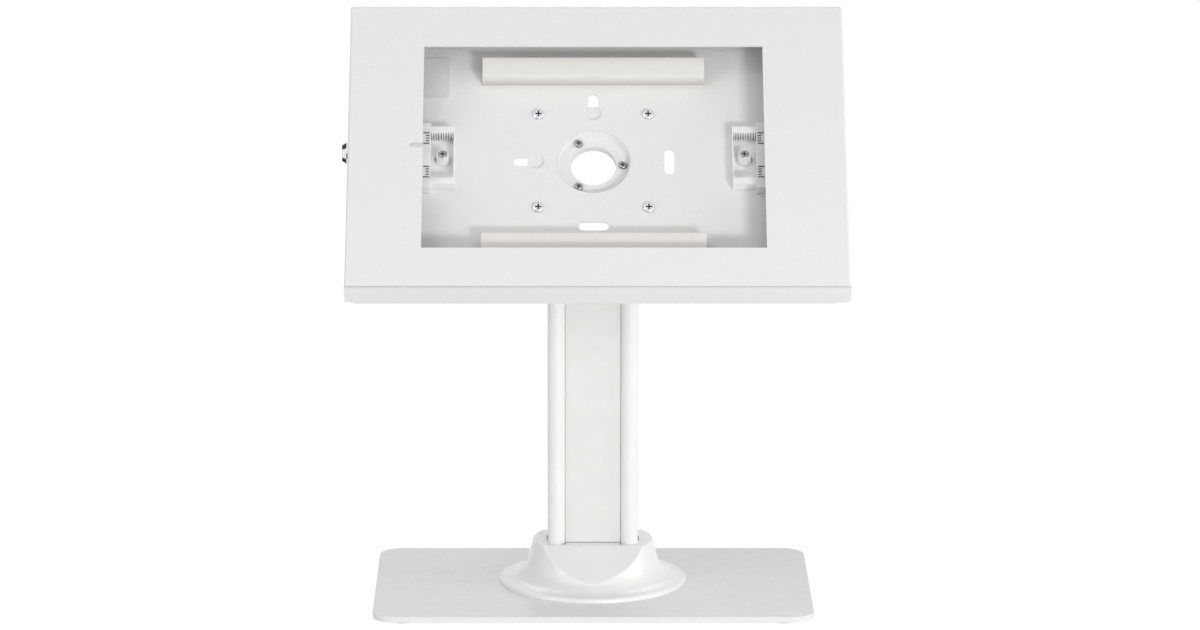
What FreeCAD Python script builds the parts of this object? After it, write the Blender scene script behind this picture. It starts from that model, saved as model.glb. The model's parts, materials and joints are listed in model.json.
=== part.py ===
import FreeCAD
import Part
import Sketcher
import os

# Tabletop tablet holder, in millimetres.
# The row frame has its origin on the table below the middle of the whole part.
# X runs to the right, Y away from the viewer and Z up.
# Pieces of the tilted head are drawn in the head frame: its origin is the middle of the
# back panel's front face, its X and Y lie in that panel and its Z points out to the viewer.

# Driving dimensions: alias and value
DIMENSIONS = {
    # Base
    "base_width": 302.0,
    "base_front": 100.0,
    "base_back": 85.0,
    "base_thickness": 4.0,
    "base_corner": 16.0,
    "base_edge_round": 0.8,
    "foot_height": 3.5,
    "foot_radius": 10.0,
    "foot_inset": 20.5,
    "foot_chamfer": 0.8,
    # Column
    "column_y": 20.5,
    "column_width": 63.0,
    "column_depth": 36.5,
    "column_corner": 14.0,
    "column_top": 245.0,
    "column_wall": 2.5,
    "groove_width": 38.4,
    "groove_depth": 3.2,
    "strip_gap": 0.8,
    "strip_thickness": 2.0,
    "strip_lift": 1.7,
    "lobe_slot_width": 6.5,
    "lobe_slot_length": 9.0,
    "port_x": 25.5,
    "port_y": 9.5,
    "port_radius": 1.75,
    "thread_play": 0.1,
    "column_screw_length": 22.0,
    "column_head_radius": 3.6,
    "column_head_height": 1.95,
    # Collar
    "collar_top": 37.2,
    "neck_radius": 41.5,
    "rim_round": 0.8,
    "root_radius": 48.5,
    "root_rise": 5.0,
    "root_sweep": 17.5,
    "facet_reach": 22.6,
    "facet_run": 1.3,
    "crease_round": 1.5,
    "collar_wall": 2.5,
    "collar_play": 0.6,
    "flange_radius": 65.0,
    "flange_thickness": 2.6,
    "flange_land": 5.0,
    "flange_recess": 1.2,
    "lip_round": 2.2,
    # Pivot and head position
    "lean": 43.0,
    "yoke_height": 34.5,
    "pivot_back": 45.0,
    "barrel_radius": 10.0,
    "barrel_inset": 0.5,
    "yoke_thickness": 5.0,
    "upright_inner": 13.0,
    "upright_thickness": 8.5,
    "upright_depth": 28.0,
    "bolt_radius": 4.0,
    "bolt_play": 0.08,
    "bolt_head_radius": 7.0,
    "bolt_head_height": 4.6,
    "nut_flat": 13.0,
    "nut_height": 8.0,
    "running_gap": 0.05,
    # Tilt bracket
    "web_height": 68.0,
    "web_thickness": 3.0,
    "web_corner": 6.0,
    "tilt_washer": 1.95,
    "cheek_root": 52.0,
    # Swivel
    "dish_radius": 24.5,
    "dish_floor_radius": 23.0,
    "dish_depth": 4.0,
    "hub_radius": 26.0,
    "cable_radius": 15.5,
    "swivel_washer": 0.5,
    "swivel_washer_radius": 29.0,
    "ring_thickness": 3.4,
    "ring_radius": 32.0,
    "ring_step_radius": 29.2,
    "stop_pin_radius": 1.0,
    "stop_pin_place": 30.5,
    "swivel_screw_circle": 20.0,
    "swivel_head_radius": 2.9,
    "swivel_head_height": 1.9,
    # Mounting plate and its screws
    "plate_width": 90.0,
    "plate_thickness": 2.0,
    "plate_corner": 5.0,
    "pattern": 75.0,
    "screw_radius": 1.9,
    "screw_play": 0.15,
    "pan_head_radius": 4.0,
    "pan_head_height": 2.3,
    "pattern_screw_length": 7.0,
    # Casing and cover
    "sheet": 1.5,
    "window_width": 231.5,
    "window_height": 162.0,
    "window_centre": -1.5,
    "border_left": 50.8,
    "border_right": 55.5,
    "border_top": 33.0,
    "border_bottom": 30.0,
    "cover_face": 22.5,
    "bend_radius": 1.6,
    "flange_play": 0.3,
    "cover_skirt": 22.0,
    "seam": 0.5,
    "band_overhang": 0.4,
    "lip_height": 9.0,
    "tab_width": 30.0,
    "tab_spacing": 110.0,
    "tab_length": 6.5,
    "tab_level": 2.4,
    "tab_slot_play": 1.5,
    "tab_slot_height": 7.2,
    "relief_left": 6.0,
    "relief_right": 10.0,
    "relief_height": 3.2,
    "notch_length": 9.0,
    "notch_width": 3.8,
    "notch_centre": -0.7,
    "panel_opening_radius": 25.2,
    "keyhole_radius": 5.4,
    "keyhole_place": 39.0,
    "keyhole_slot_width": 6.9,
    "keyhole_slot_place": 51.3,
    "slot_width": 6.8,
    "slot_length": 20.5,
    "slot_place": 51.7,
    "camera_hole": 22.0,
    "camera_hole_corner": 4.0,
    "camera_inset": 50.85,
    "camera_drop": 12.1,
    "camera_plate_width": 34.5,
    "camera_plate_height": 33.0,
    "camera_plate_corner": 3.0,
    "camera_plate_thickness": 1.2,
    "camera_screw_inset": 37.55,
    "camera_screw_spacing": 24.0,
    "small_screw_radius": 1.4,
    "small_head_radius": 2.6,
    "small_head_height": 1.4,
    # Foam pads
    "pad_width": 152.0,
    "pad_height": 15.2,
    "pad_thickness": 12.0,
    "pad_inset": 10.4,
    "pad_rise": 0.5,
    "pad_chamfer": 1.0,
    # Tablet clamps
    "clamp_lift": 0.1,
    "clamp_floor": 1.7,
    "clamp_top": 8.5,
    "clamp_overlap": 11.25,
    "clamp_block_width": 16.4,
    "channel_width": 16.2,
    "clamp_wall": 2.0,
    "clamp_skin": 1.5,
    "clamp_stop_top": 17.5,
    "clamp_block_length": 52.0,
    "channel_length": 46.0,
    "channel_rail": 5.0,
    "channel_end": 0.8,
    "tooth_depth": 3.0,
    "tooth_width": 0.9,
    "tooth_tip": 0.5,
    "tooth_pitch": 1.7,
    "tooth_count": 9.0,
    "tooth_margin": 0.9,
    "boss_base_radius": 4.9,
    "boss_top_radius": 4.0,
    "boss_top": 9.6,
    "boss_spigot_radius": 2.5,
    "boss_bore_radius": 1.6,
    "boss_sink": 1.7,
    "clamp_head_radius": 3.1,
    "clamp_head_height": 1.8,
    "clamp_screw_end": 3.5,
    # Lock
    "lock_height": 11.0,
    "lock_collar_radius": 8.1,
    "lock_collar_top": 6.1,
    "lock_collar_height": 4.0,
    "lock_barrel_radius": 7.0,
    "lock_barrel_length": 16.0,
    "lock_hole_play": 0.15,
    "lock_nut_flat": 17.0,
    "lock_nut_height": 3.0,
    "lock_notch_play": 0.9,
    "plug_radius": 4.6,
    "plug_play": 0.05,
    "plug_recess": 0.5,
    "keyway_width": 1.4,
    "keyway_length": 6.0,
    "keyway_depth": 5.0,
    "cam_thickness": 2.0,
    "cam_width": 8.0,
    "cam_reach": 10.0,
    "cam_heel": 5.0,
    "cam_screw_radius": 1.5,
    "cam_head_radius": 3.0,
    "cam_head_height": 2.0,
    "catch_width": 8.0,
    "catch_sheet": 1.5,
    "catch_play": 0.6,
    "catch_lap": 5.0,
    "catch_foot": 11.0,
}

# Heights and edges that several pieces share, as expressions of the driving dimensions
PLATE_BOTTOM = "size.foot_height"
PLATE_TOP = "(size.foot_height + size.base_thickness)"
PANEL_BACK = "(0 - size.sheet)"
MOUNT_BACK = "(0 - size.sheet - size.plate_thickness)"
DISH_FLOOR = "(0 - size.sheet - size.dish_depth)"
DISH_BACK = "(0 - size.sheet - size.dish_depth - size.plate_thickness)"
WEB_FRONT = "(0 - size.sheet - size.plate_thickness - size.swivel_washer)"
WEB_BACK = "(0 - size.sheet - size.plate_thickness - size.swivel_washer - size.web_thickness)"
RING_BACK = "(0 - size.sheet - size.dish_depth - size.plate_thickness - size.ring_thickness)"
BARREL_HALF = "(size.column_width / 2 - size.barrel_inset)"
WASHER_INNER = f"({BARREL_HALF} + size.running_gap)"
CHEEK_INNER = f"({WASHER_INNER} + size.tilt_washer)"
CHEEK_OUTER = f"({CHEEK_INNER} + size.web_thickness)"
COVER_LEFT = "(0 - size.window_width / 2 - size.border_left)"
COVER_RIGHT = "(size.window_width / 2 + size.border_right)"
COVER_TOP = "(size.window_centre + size.window_height / 2 + size.border_top)"
COVER_BOTTOM = "(size.window_centre - size.window_height / 2 - size.border_bottom)"
COVER_INNER = "(size.cover_face - size.sheet)"
CASE_LEFT = f"({COVER_LEFT} + size.sheet + size.flange_play)"
CASE_RIGHT = f"({COVER_RIGHT} - size.sheet - size.flange_play)"
CASE_TOP = f"({COVER_TOP} - size.sheet - size.flange_play)"
CASE_FRONT = f"({COVER_INNER} - size.seam)"
BAND_TOP = f"({COVER_BOTTOM} + size.sheet)"
CAM_FACE = f"({COVER_LEFT} + size.lock_barrel_length)"
BOSS_SEAT = "(size.clamp_lift * 2 + size.clamp_floor)"
WINDOW_TOP = "(size.window_centre + size.window_height / 2)"
WINDOW_BOTTOM = "(size.window_centre - size.window_height / 2)"
PIVOT_HEIGHT = "(size.column_top + size.yoke_height)"
CAMERA_X = f"({COVER_LEFT} + size.camera_inset)"
CAMERA_Y = f"({WINDOW_TOP} - size.camera_drop)"
CAMERA_SCREW_X = f"({COVER_LEFT} + size.camera_screw_inset)"
CLAMP_OUTER = "(size.window_width / 2 + size.clamp_overlap)"
CLAMP_STEP = f"({CLAMP_OUTER} - size.clamp_block_width)"
CLAMP_INNER = f"({CLAMP_STEP} - size.channel_width)"
BOSS_X = f"({CLAMP_STEP} - size.channel_width / 2)"

doc = FreeCAD.newDocument("tablet_holder")
sheet = doc.addObject("Spreadsheet::Sheet", "size")
for row, (alias, value) in enumerate(DIMENSIONS.items(), start=1):
    sheet.set(f"A{row}", alias)
    sheet.set(f"B{row}", str(value))
    sheet.setAlias(f"B{row}", alias)
doc.recompute()

nodes = []


def value_of(expression):
    """Return the present value of an expression of the driving dimensions."""
    return float(sheet.evalExpression(expression.replace("size.", "")))


def bind(item, path, expression):
    """Bind one property of an object to an expression."""
    item.setExpression(path, expression)


def new_body(name):
    """Start a sub-part as a body whose label names its file."""
    body = doc.addObject("PartDesign::Body", name)
    body.Label = name
    body.AllowCompound = True
    nodes.append(body)
    return body


def place_on_head(item, x="0", y="0", z="0"):
    """Put a sub-part at a point of the head frame, turned with the head."""
    item.Placement = FreeCAD.Placement(FreeCAD.Vector(), FreeCAD.Rotation(FreeCAD.Vector(1, 0, 0), 10))
    out = f"(size.pivot_back + {z})"
    bind(item, "Placement.Base.x", x)
    bind(item, "Placement.Base.y", f"size.column_y + {y} * sin(size.lean) - {out} * cos(size.lean)")
    bind(item, "Placement.Base.z", f"{PIVOT_HEIGHT} + {y} * cos(size.lean) + {out} * sin(size.lean)")
    bind(item, "Placement.Rotation.Angle", "90 - size.lean")


def place_on_column(item):
    """Put a sub-part on the column's axis at table height."""
    bind(item, "Placement.Base.y", "size.column_y")


def sketch_on(body, name, plane="XY_Plane", offset="0"):
    """Start a sketch on one of the body's own origin planes, moved along its normal."""
    sketch = body.newObject("Sketcher::SketchObject", name)
    origin_plane = next(f for f in body.Origin.OriginFeatures if f.Role == plane)
    sketch.AttachmentSupport = [(origin_plane, "")]
    sketch.MapMode = "FlatFace"
    bind(sketch, "AttachmentOffset.Base.z", offset)
    return sketch


def constrain(sketch, name, expression, *definition):
    """Add a named dimension and bind it to an expression."""
    index = sketch.addConstraint(Sketcher.Constraint(*definition, value_of(expression)))
    sketch.renameConstraint(index, name)
    bind(sketch, f"Constraints.{name}", expression)


def polygon(sketch, points):
    """Draw a closed outline of straight lines through points given as expressions."""
    corners = [FreeCAD.Vector(value_of(x), value_of(y), 0) for x, y in points]
    count = len(corners)
    first = sketch.GeometryCount
    for i in range(count):
        sketch.addGeometry(Part.LineSegment(corners[i], corners[(i + 1) % count]), False)
    for i in range(count):
        line = first + i
        following = first + (i + 1) % count
        sketch.addConstraint(Sketcher.Constraint("Coincident", line, 2, following, 1))
    for i, (x, y) in enumerate(points):
        constrain(sketch, f"x{first + i}", x, "DistanceX", first + i, 1)
        constrain(sketch, f"y{first + i}", y, "DistanceY", first + i, 1)


def rectangle(sketch, left, right, low, high):
    """Draw a rectangle between four edges."""
    polygon(sketch, [(left, low), (right, low), (right, high), (left, high)])


def centred_rectangle(sketch, x, y, width, height):
    """Draw a rectangle round a centre."""
    rectangle(sketch, f"{x} - {width} / 2", f"{x} + {width} / 2",
              f"{y} - {height} / 2", f"{y} + {height} / 2")


def circle(sketch, x, y, radius):
    """Draw a circle."""
    centre = FreeCAD.Vector(value_of(x), value_of(y), 0)
    index = sketch.addGeometry(Part.Circle(centre, FreeCAD.Vector(0, 0, 1), value_of(radius)), False)
    constrain(sketch, f"cx{index}", x, "DistanceX", index, 3)
    constrain(sketch, f"cy{index}", y, "DistanceY", index, 3)
    constrain(sketch, f"radius{index}", radius, "Radius", index)


def rounded_rectangle(sketch, left, right, low, high, radius):
    """Draw a rectangle with equal round corners."""
    x0, x1, y0, y1, r = (value_of(e) for e in (left, right, low, high, radius))
    vector = FreeCAD.Vector
    up = vector(0, 0, 1)
    quarter = 1.5707963267948966
    starts = [vector(x0 + r, y0, 0), vector(x1, y0 + r, 0), vector(x1 - r, y1, 0), vector(x0, y1 - r, 0)]
    ends = [vector(x1 - r, y0, 0), vector(x1, y1 - r, 0), vector(x0 + r, y1, 0), vector(x0, y0 + r, 0)]
    centres = [vector(x1 - r, y0 + r, 0), vector(x1 - r, y1 - r, 0),
               vector(x0 + r, y1 - r, 0), vector(x0 + r, y0 + r, 0)]
    first = sketch.GeometryCount
    for i in range(4):
        sketch.addGeometry(Part.LineSegment(starts[i], ends[i]), False)
        arc = Part.ArcOfCircle(Part.Circle(centres[i], up, r), (i - 1) * quarter, i * quarter)
        sketch.addGeometry(arc, False)
    for i in range(4):
        line = first + 2 * i
        arc = line + 1
        following = first + (2 * i + 2) % 8
        sketch.addConstraint(Sketcher.Constraint("Tangent", line, 2, arc, 1))
        sketch.addConstraint(Sketcher.Constraint("Tangent", arc, 2, following, 1))
        sketch.addConstraint(Sketcher.Constraint("Horizontal" if i % 2 == 0 else "Vertical", line))
        if i > 0:
            sketch.addConstraint(Sketcher.Constraint("Equal", first + 1, arc))
    constrain(sketch, f"corner{first}", radius, "Radius", first + 1)
    constrain(sketch, f"low{first}", low, "DistanceY", first, 1)
    constrain(sketch, f"right{first}", right, "DistanceX", first + 2, 1)
    constrain(sketch, f"high{first}", high, "DistanceY", first + 4, 1)
    constrain(sketch, f"left{first}", left, "DistanceX", first + 6, 1)


def straight_slot(sketch, start, end, radius):
    """Draw a slot with round ends between two points, along X or Y."""
    (ax, ay), (bx, by) = start, end
    along_x = ay == by
    if along_x:
        rounded_rectangle(sketch, f"{ax} - {radius}", f"{bx} + {radius}",
                          f"{ay} - {radius}", f"{ay} + {radius}", f"{radius} * 0.9999")
    else:
        rounded_rectangle(sketch, f"{ax} - {radius}", f"{ax} + {radius}",
                          f"{ay} - {radius}", f"{by} + {radius}", f"{radius} * 0.9999")


def disc_segment(sketch, radius, level):
    """Draw the part of a disc round the origin that lies above a level line."""
    r = value_of(radius)
    h = value_of(level)
    x = (r * r - h * h) ** 0.5
    start = FreeCAD.Vector(x, h, 0)
    end = FreeCAD.Vector(-x, h, 0)
    top = FreeCAD.Vector(0, r, 0)
    arc = sketch.addGeometry(Part.Arc(start, top, end), False)
    line = sketch.addGeometry(Part.LineSegment(end, start), False)
    sketch.addConstraint(Sketcher.Constraint("Coincident", arc, 2, line, 1))
    sketch.addConstraint(Sketcher.Constraint("Coincident", line, 2, arc, 1))
    sketch.addConstraint(Sketcher.Constraint("Coincident", arc, 3, -1, 1))
    sketch.addConstraint(Sketcher.Constraint("Horizontal", line))
    constrain(sketch, "radius", radius, "Radius", arc)
    constrain(sketch, "level", level, "DistanceY", line, 1)


def pad(body, name, sketch, length, downward=False):
    """Extrude a sketch along its normal, or against it."""
    feature = body.newObject("PartDesign::Pad", name)
    feature.Profile = sketch
    bind(feature, "Length", length)
    feature.Reversed = downward
    sketch.Visibility = False
    doc.recompute()
    return feature


def pocket(body, name, sketch, length=None, upward=False):
    """Cut a sketch's outline against its normal, or along it, to a depth or right through."""
    before = body.Shape.Volume
    feature = body.newObject("PartDesign::Pocket", name)
    feature.Profile = sketch
    if length is None:
        feature.Type = "ThroughAll"
        feature.Midplane = True
    else:
        bind(feature, "Length", length)
        feature.Reversed = upward
    sketch.Visibility = False
    doc.recompute()
    if not body.Shape.Volume < before:
        raise RuntimeError(f"{body.Label}: {name} cuts nothing")
    return feature


def revolve(body, name, sketch, axis="V_Axis", cut=False):
    """Turn a sketch a full turn about one of its axes, to add or to cut."""
    feature = body.newObject("PartDesign::Groove" if cut else "PartDesign::Revolution", name)
    feature.Profile = sketch
    feature.ReferenceAxis = (sketch, [axis])
    feature.Angle = 360
    sketch.Visibility = False
    doc.recompute()
    return feature


def edges_where(feature, test):
    """Name the edges of a feature whose middle and bounding box pass a test."""
    names = []
    for index, edge in enumerate(feature.Shape.Edges, start=1):
        if test(edge.CenterOfMass, edge.BoundBox):
            names.append(f"Edge{index}")
    return names


def hole_rims(feature, level, radius):
    """Name the round edges of one radius that lie at one height."""
    z = value_of(level)
    across = 2 * value_of(radius)
    return edges_where(feature, lambda c, b: abs(b.ZMin - z) < 0.01 and b.ZLength < 0.01
                       and abs(b.XLength - across) < 0.01 and abs(b.YLength - across) < 0.01)


def dress(body, kind, name, base, edges, size_expression):
    """Fillet or chamfer named edges of the body's last feature."""
    feature = body.newObject(f"PartDesign::{kind}", name)
    feature.Base = (base, edges)
    bind(feature, "Radius" if kind == "Fillet" else "Size", size_expression)
    doc.recompute()
    if not edges or "Invalid" in feature.State:
        raise RuntimeError(f"{body.Label}: {name} fails on {edges}")
    return feature


def linear_step(body, sketch, axis, length, count):
    """Make one linear step of a pattern."""
    step = body.newObject("PartDesign::LinearPattern", f"{sketch.Name}_{axis}")
    step.Direction = (sketch, [axis])
    bind(step, "Length", length)
    bind(step, "Occurrences", count)
    return step


def repeat_along(body, name, originals, sketch, axis, length, count):
    """Repeat features in a row."""
    pattern = body.newObject("PartDesign::LinearPattern", name)
    pattern.Originals = originals
    pattern.Direction = (sketch, [axis])
    bind(pattern, "Length", length)
    bind(pattern, "Occurrences", count)
    body.Tip = pattern
    doc.recompute()
    return pattern


def repeat_grid(body, name, originals, sketch, spacing_x, spacing_y):
    """Repeat features at the four corners of a rectangle."""
    pattern = body.newObject("PartDesign::MultiTransform", name)
    pattern.Originals = originals
    steps = [linear_step(body, sketch, "H_Axis", spacing_x, "2"),
             linear_step(body, sketch, "V_Axis", spacing_y, "2")]
    pattern.Transformations = steps
    body.Tip = pattern
    doc.recompute()
    return pattern


def repeat_round(body, name, originals, sketch, count):
    """Repeat features in a full circle about the sketch's normal."""
    pattern = body.newObject("PartDesign::PolarPattern", name)
    pattern.Originals = originals
    pattern.Axis = (sketch, ["N_Axis"])
    pattern.Angle = 360
    pattern.Occurrences = count
    body.Tip = pattern
    doc.recompute()
    return pattern


def cross_recess(body, x, y, top, head_radius, depth="1.1"):
    """Cut a cross-shaped driver recess into a screw head."""
    sketch = sketch_on(body, "recess_outline", offset=top)
    arm = f"({head_radius} * 0.55)"
    half = f"({head_radius} * 0.13)"
    points = [(f"{x} + {a}", f"{y} + {b}") for a, b in (
        (half, half), (arm, half), (arm, f"0 - {half}"), (half, f"0 - {half}"),
        (half, f"0 - {arm}"), (f"0 - {half}", f"0 - {arm}"), (f"0 - {half}", f"0 - {half}"),
        (f"0 - {arm}", f"0 - {half}"), (f"0 - {arm}", half), (f"0 - {half}", half),
        (f"0 - {half}", arm), (half, arm))]
    polygon(sketch, points)
    return pocket(body, "driver_recess", sketch, depth)


def pan_screw(body, x, y, seat, head_radius, head_height, shank_radius, length, driver=True):
    """Model a pan-head screw along Z with its head standing on a seat. Returns its features."""
    shank_sketch = sketch_on(body, "shank_outline", offset=seat)
    circle(shank_sketch, x, y, shank_radius)
    shank = pad(body, "shank", shank_sketch, length, downward=True)
    head_sketch = sketch_on(body, "head_outline", offset=seat)
    circle(head_sketch, x, y, head_radius)
    head = pad(body, "head", head_sketch, head_height)
    top = f"({seat} + {head_height})"
    top_z = value_of(top)
    rim = edges_where(head, lambda c, b: abs(c.z - top_z) < 0.01 and b.ZLength < 0.01)
    crown = dress(body, "Fillet", "crown", head, rim, f"{head_height} * 0.55")
    features = [shank, head]
    if driver:
        features.append(cross_recess(body, x, y, top, head_radius))
    body.Tip = body.Group[-1]
    return features, crown, head_sketch


def base_plate():
    """Steel plate with round corners and countersunk holes under the column."""
    body = new_body("base_plate")
    place_on_column(body)
    outline = sketch_on(body, "outline", offset=PLATE_BOTTOM)
    rounded_rectangle(outline, "0 - size.base_width / 2", "size.base_width / 2",
                      "0 - size.base_front", "size.base_back", "size.base_corner")
    slab = pad(body, "slab", outline, "size.base_thickness")
    top = value_of(PLATE_TOP)
    rim = edges_where(slab, lambda c, b: abs(b.ZMin - top) < 0.01)
    dress(body, "Fillet", "edge_round", slab, rim, "size.base_edge_round")
    holes = sketch_on(body, "hole_outline", offset=PLATE_BOTTOM)
    for sx in ("0 - size.port_x", "size.port_x"):
        for sy in ("0 - size.port_y", "size.port_y"):
            circle(holes, sx, sy, "size.port_radius + size.thread_play")
    drilled = pocket(body, "screw_holes", holes)
    mouths = hole_rims(drilled, PLATE_BOTTOM, "size.port_radius + size.thread_play")
    dress(body, "Chamfer", "countersinks", drilled, mouths,
          "size.column_head_radius - size.port_radius")


def base_feet():
    """Four rubber discs under the plate."""
    body = new_body("base_feet")
    place_on_column(body)
    outline = sketch_on(body, "outline")
    circle(outline, "0 - size.base_width / 2 + size.foot_inset",
           "0 - size.base_front + size.foot_inset", "size.foot_radius")
    disc = pad(body, "disc", outline, "size.foot_height")
    low = edges_where(disc, lambda c, b: abs(c.z) < 0.01 and b.ZLength < 0.01)
    dress(body, "Chamfer", "edge", disc, low, "size.foot_chamfer")
    repeat_grid(body, "four_feet", [disc, body.Tip], outline,
                "size.base_width - size.foot_inset * 2",
                "size.base_front + size.base_back - size.foot_inset * 2")


def column_section(sketch, play):
    """Draw the column's outside outline, grown by a clearance."""
    rounded_rectangle(sketch, f"0 - size.column_width / 2 - {play}", f"size.column_width / 2 + {play}",
                      f"0 - size.column_depth / 2 - {play}", f"size.column_depth / 2 + {play}",
                      f"size.column_corner + {play}")


def column_profile():
    """Aluminium extrusion: two round lobes, a front and a rear groove and hollow chambers."""
    body = new_body("column_profile")
    place_on_column(body)
    outline = sketch_on(body, "outline", offset=PLATE_TOP)
    column_section(outline, "0")
    half_core = "(size.groove_width / 2 - size.column_wall)"
    half_depth = "(size.column_depth / 2 - size.groove_depth - size.column_wall)"
    rounded_rectangle(outline, f"0 - {half_core}", half_core, f"0 - {half_depth}", half_depth, "2")
    for side in ("0 - size.port_x", "size.port_x"):
        rounded_rectangle(outline, f"{side} - size.lobe_slot_width / 2", f"{side} + size.lobe_slot_width / 2",
                          "0 - size.lobe_slot_length / 2", "size.lobe_slot_length / 2",
                          "size.lobe_slot_width * 0.45")
        for end in ("0 - size.port_y", "size.port_y"):
            circle(outline, side, end, "size.port_radius")
    pad(body, "bar", outline, f"size.column_top - {PLATE_TOP}")
    grooves = sketch_on(body, "groove_outline", offset="size.column_top")
    for low, high in (("0 - size.column_depth / 2 - 1", "size.groove_depth - size.column_depth / 2"),
                      ("size.column_depth / 2 - size.groove_depth", "size.column_depth / 2 + 1")):
        rectangle(grooves, "0 - size.groove_width / 2", "size.groove_width / 2", low, high)
    pocket(body, "grooves", grooves)


def column_strip(name, side):
    """Snap-in cover strip that closes the column's front or rear groove."""
    body = new_body(name)
    place_on_column(body)
    outline = sketch_on(body, "outline", offset="size.collar_top + size.strip_lift")
    seat = "(size.column_depth / 2 - size.groove_depth)"
    face = f"({seat} + size.strip_thickness)"
    low, high = (f"0 - {face}", f"0 - {seat}") if side < 0 else (seat, face)
    rectangle(outline, "size.strip_gap - size.groove_width / 2", "size.groove_width / 2 - size.strip_gap",
              low, high)
    strip = pad(body, "strip", outline, "size.column_top - size.collar_top - size.strip_lift")
    outer = side * value_of(face)
    rim = edges_where(strip, lambda c, b: abs(c.y - outer) < 0.01 and b.XLength < 0.01)
    dress(body, "Fillet", "edge_round", strip, rim, "size.strip_thickness * 0.4")


def collar_outline(body):
    """Turn the collar's neck and flange, and round its root and lip."""
    profile = sketch_on(body, "outline", plane="XZ_Plane")
    root = f"({PLATE_TOP} + size.root_rise)"
    lip = f"({PLATE_TOP} + size.flange_thickness)"
    polygon(profile, [("0", PLATE_TOP), ("size.flange_radius", PLATE_TOP), ("size.flange_radius", lip),
                      ("size.root_radius", root), ("size.neck_radius", "size.collar_top"),
                      ("0", "size.collar_top")])
    neck = revolve(body, "neck", profile)
    for name, level, size in (("root_sweep", root, "size.root_sweep"), ("lip_round", lip, "size.lip_round")):
        z = value_of(level)
        ring = edges_where(neck, lambda c, b: abs(b.ZMin - z) < 0.01 and b.ZLength < 0.01)
        neck = dress(body, "Fillet", name, neck, ring, size)


def collar_facet(body, name, side):
    """Slope off the neck's front or rear with a flat face."""
    face = sketch_on(body, f"{name}_outline", plane="YZ_Plane")
    drop = f"(size.collar_top - {PLATE_TOP} - size.root_rise)"
    near = f"{side} * size.facet_reach"
    far = f"{side} * (size.facet_reach + size.facet_run * {drop})"
    polygon(face, [(near, "size.collar_top"), (far, f"{PLATE_TOP} + size.root_rise"),
                   (far, "size.collar_top + 1"), (near, "size.collar_top + 1")])
    return pocket(body, name, face)


def base_collar():
    """Moulded collar: a round neck with a sloping front and rear, a wide flange, open below."""
    body = new_body("base_collar")
    place_on_column(body)
    collar_outline(body)
    collar_facet(body, "front_facet", -1)
    neck = collar_facet(body, "rear_facet", 1)
    crease = edges_where(neck, lambda c, b: b.YLength > 1 and b.ZLength > 1)
    neck = dress(body, "Fillet", "crease_round", neck, crease, "size.crease_round")
    top = value_of("size.collar_top")
    rim = edges_where(neck, lambda c, b: b.ZMin > top - 0.01)
    dress(body, "Fillet", "rim_round", neck, rim, "size.rim_round")
    hollow = sketch_on(body, "hollow_outline", plane="XZ_Plane")
    back_off = "size.collar_wall * sqrt(1 + size.facet_run ^ 2)"
    roof = "(size.collar_top - size.collar_wall)"
    roof_radius = f"(size.facet_reach + size.facet_run * size.collar_wall - {back_off})"
    shoulder = f"({roof} - (size.neck_radius - {roof_radius}) / size.facet_run)"
    land = "(size.flange_radius - size.flange_land)"
    polygon(hollow, [("0", f"{PLATE_TOP} - 1"), (land, f"{PLATE_TOP} - 1"),
                     (land, f"{PLATE_TOP} + size.flange_recess"),
                     ("size.root_radius", f"{PLATE_TOP} + size.root_rise - size.collar_wall"),
                     ("size.neck_radius", shoulder), (roof_radius, roof), ("0", roof)])
    revolve(body, "hollow", hollow, cut=True)
    passage = sketch_on(body, "passage_outline", offset=PLATE_TOP)
    column_section(passage, "size.collar_play")
    pocket(body, "passage", passage)


def column_screws(name, seat, downward):
    """Four screws that hold a piece to the column's end."""
    body = new_body(name)
    place_on_column(body)
    x = "0 - size.port_x"
    y = "0 - size.port_y"
    profile = sketch_on(body, "outline", plane="XZ_Plane", offset="size.port_y")
    shank = "(size.port_radius - size.thread_play)"
    head = "(size.column_head_radius - size.thread_play)"
    sign = "-" if downward else "+"
    flat = f"({seat})"
    under = f"({seat} {sign} size.column_head_height)"
    end = f"({seat} {sign} size.column_screw_length)"
    polygon(profile, [(x, flat), (f"{x} + {head}", flat), (f"{x} + {shank}", under),
                      (f"{x} + {shank}", end), (x, end)])
    screw = body.newObject("PartDesign::Revolution", "screw")
    screw.Profile = profile
    screw.ReferenceAxis = (profile, ["Edge5"])
    screw.Angle = 360
    profile.Visibility = False
    doc.recompute()
    base_sketch = sketch_on(body, "recess_outline", offset=seat)
    circle(base_sketch, x, y, f"{head} * 0.45")
    recess = pocket(body, "recess", base_sketch, "size.column_head_height * 0.6", upward=not downward)
    repeat_grid(body, "four_screws", [screw, recess], base_sketch,
                "size.port_x * 2", "size.port_y * 2")


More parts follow.
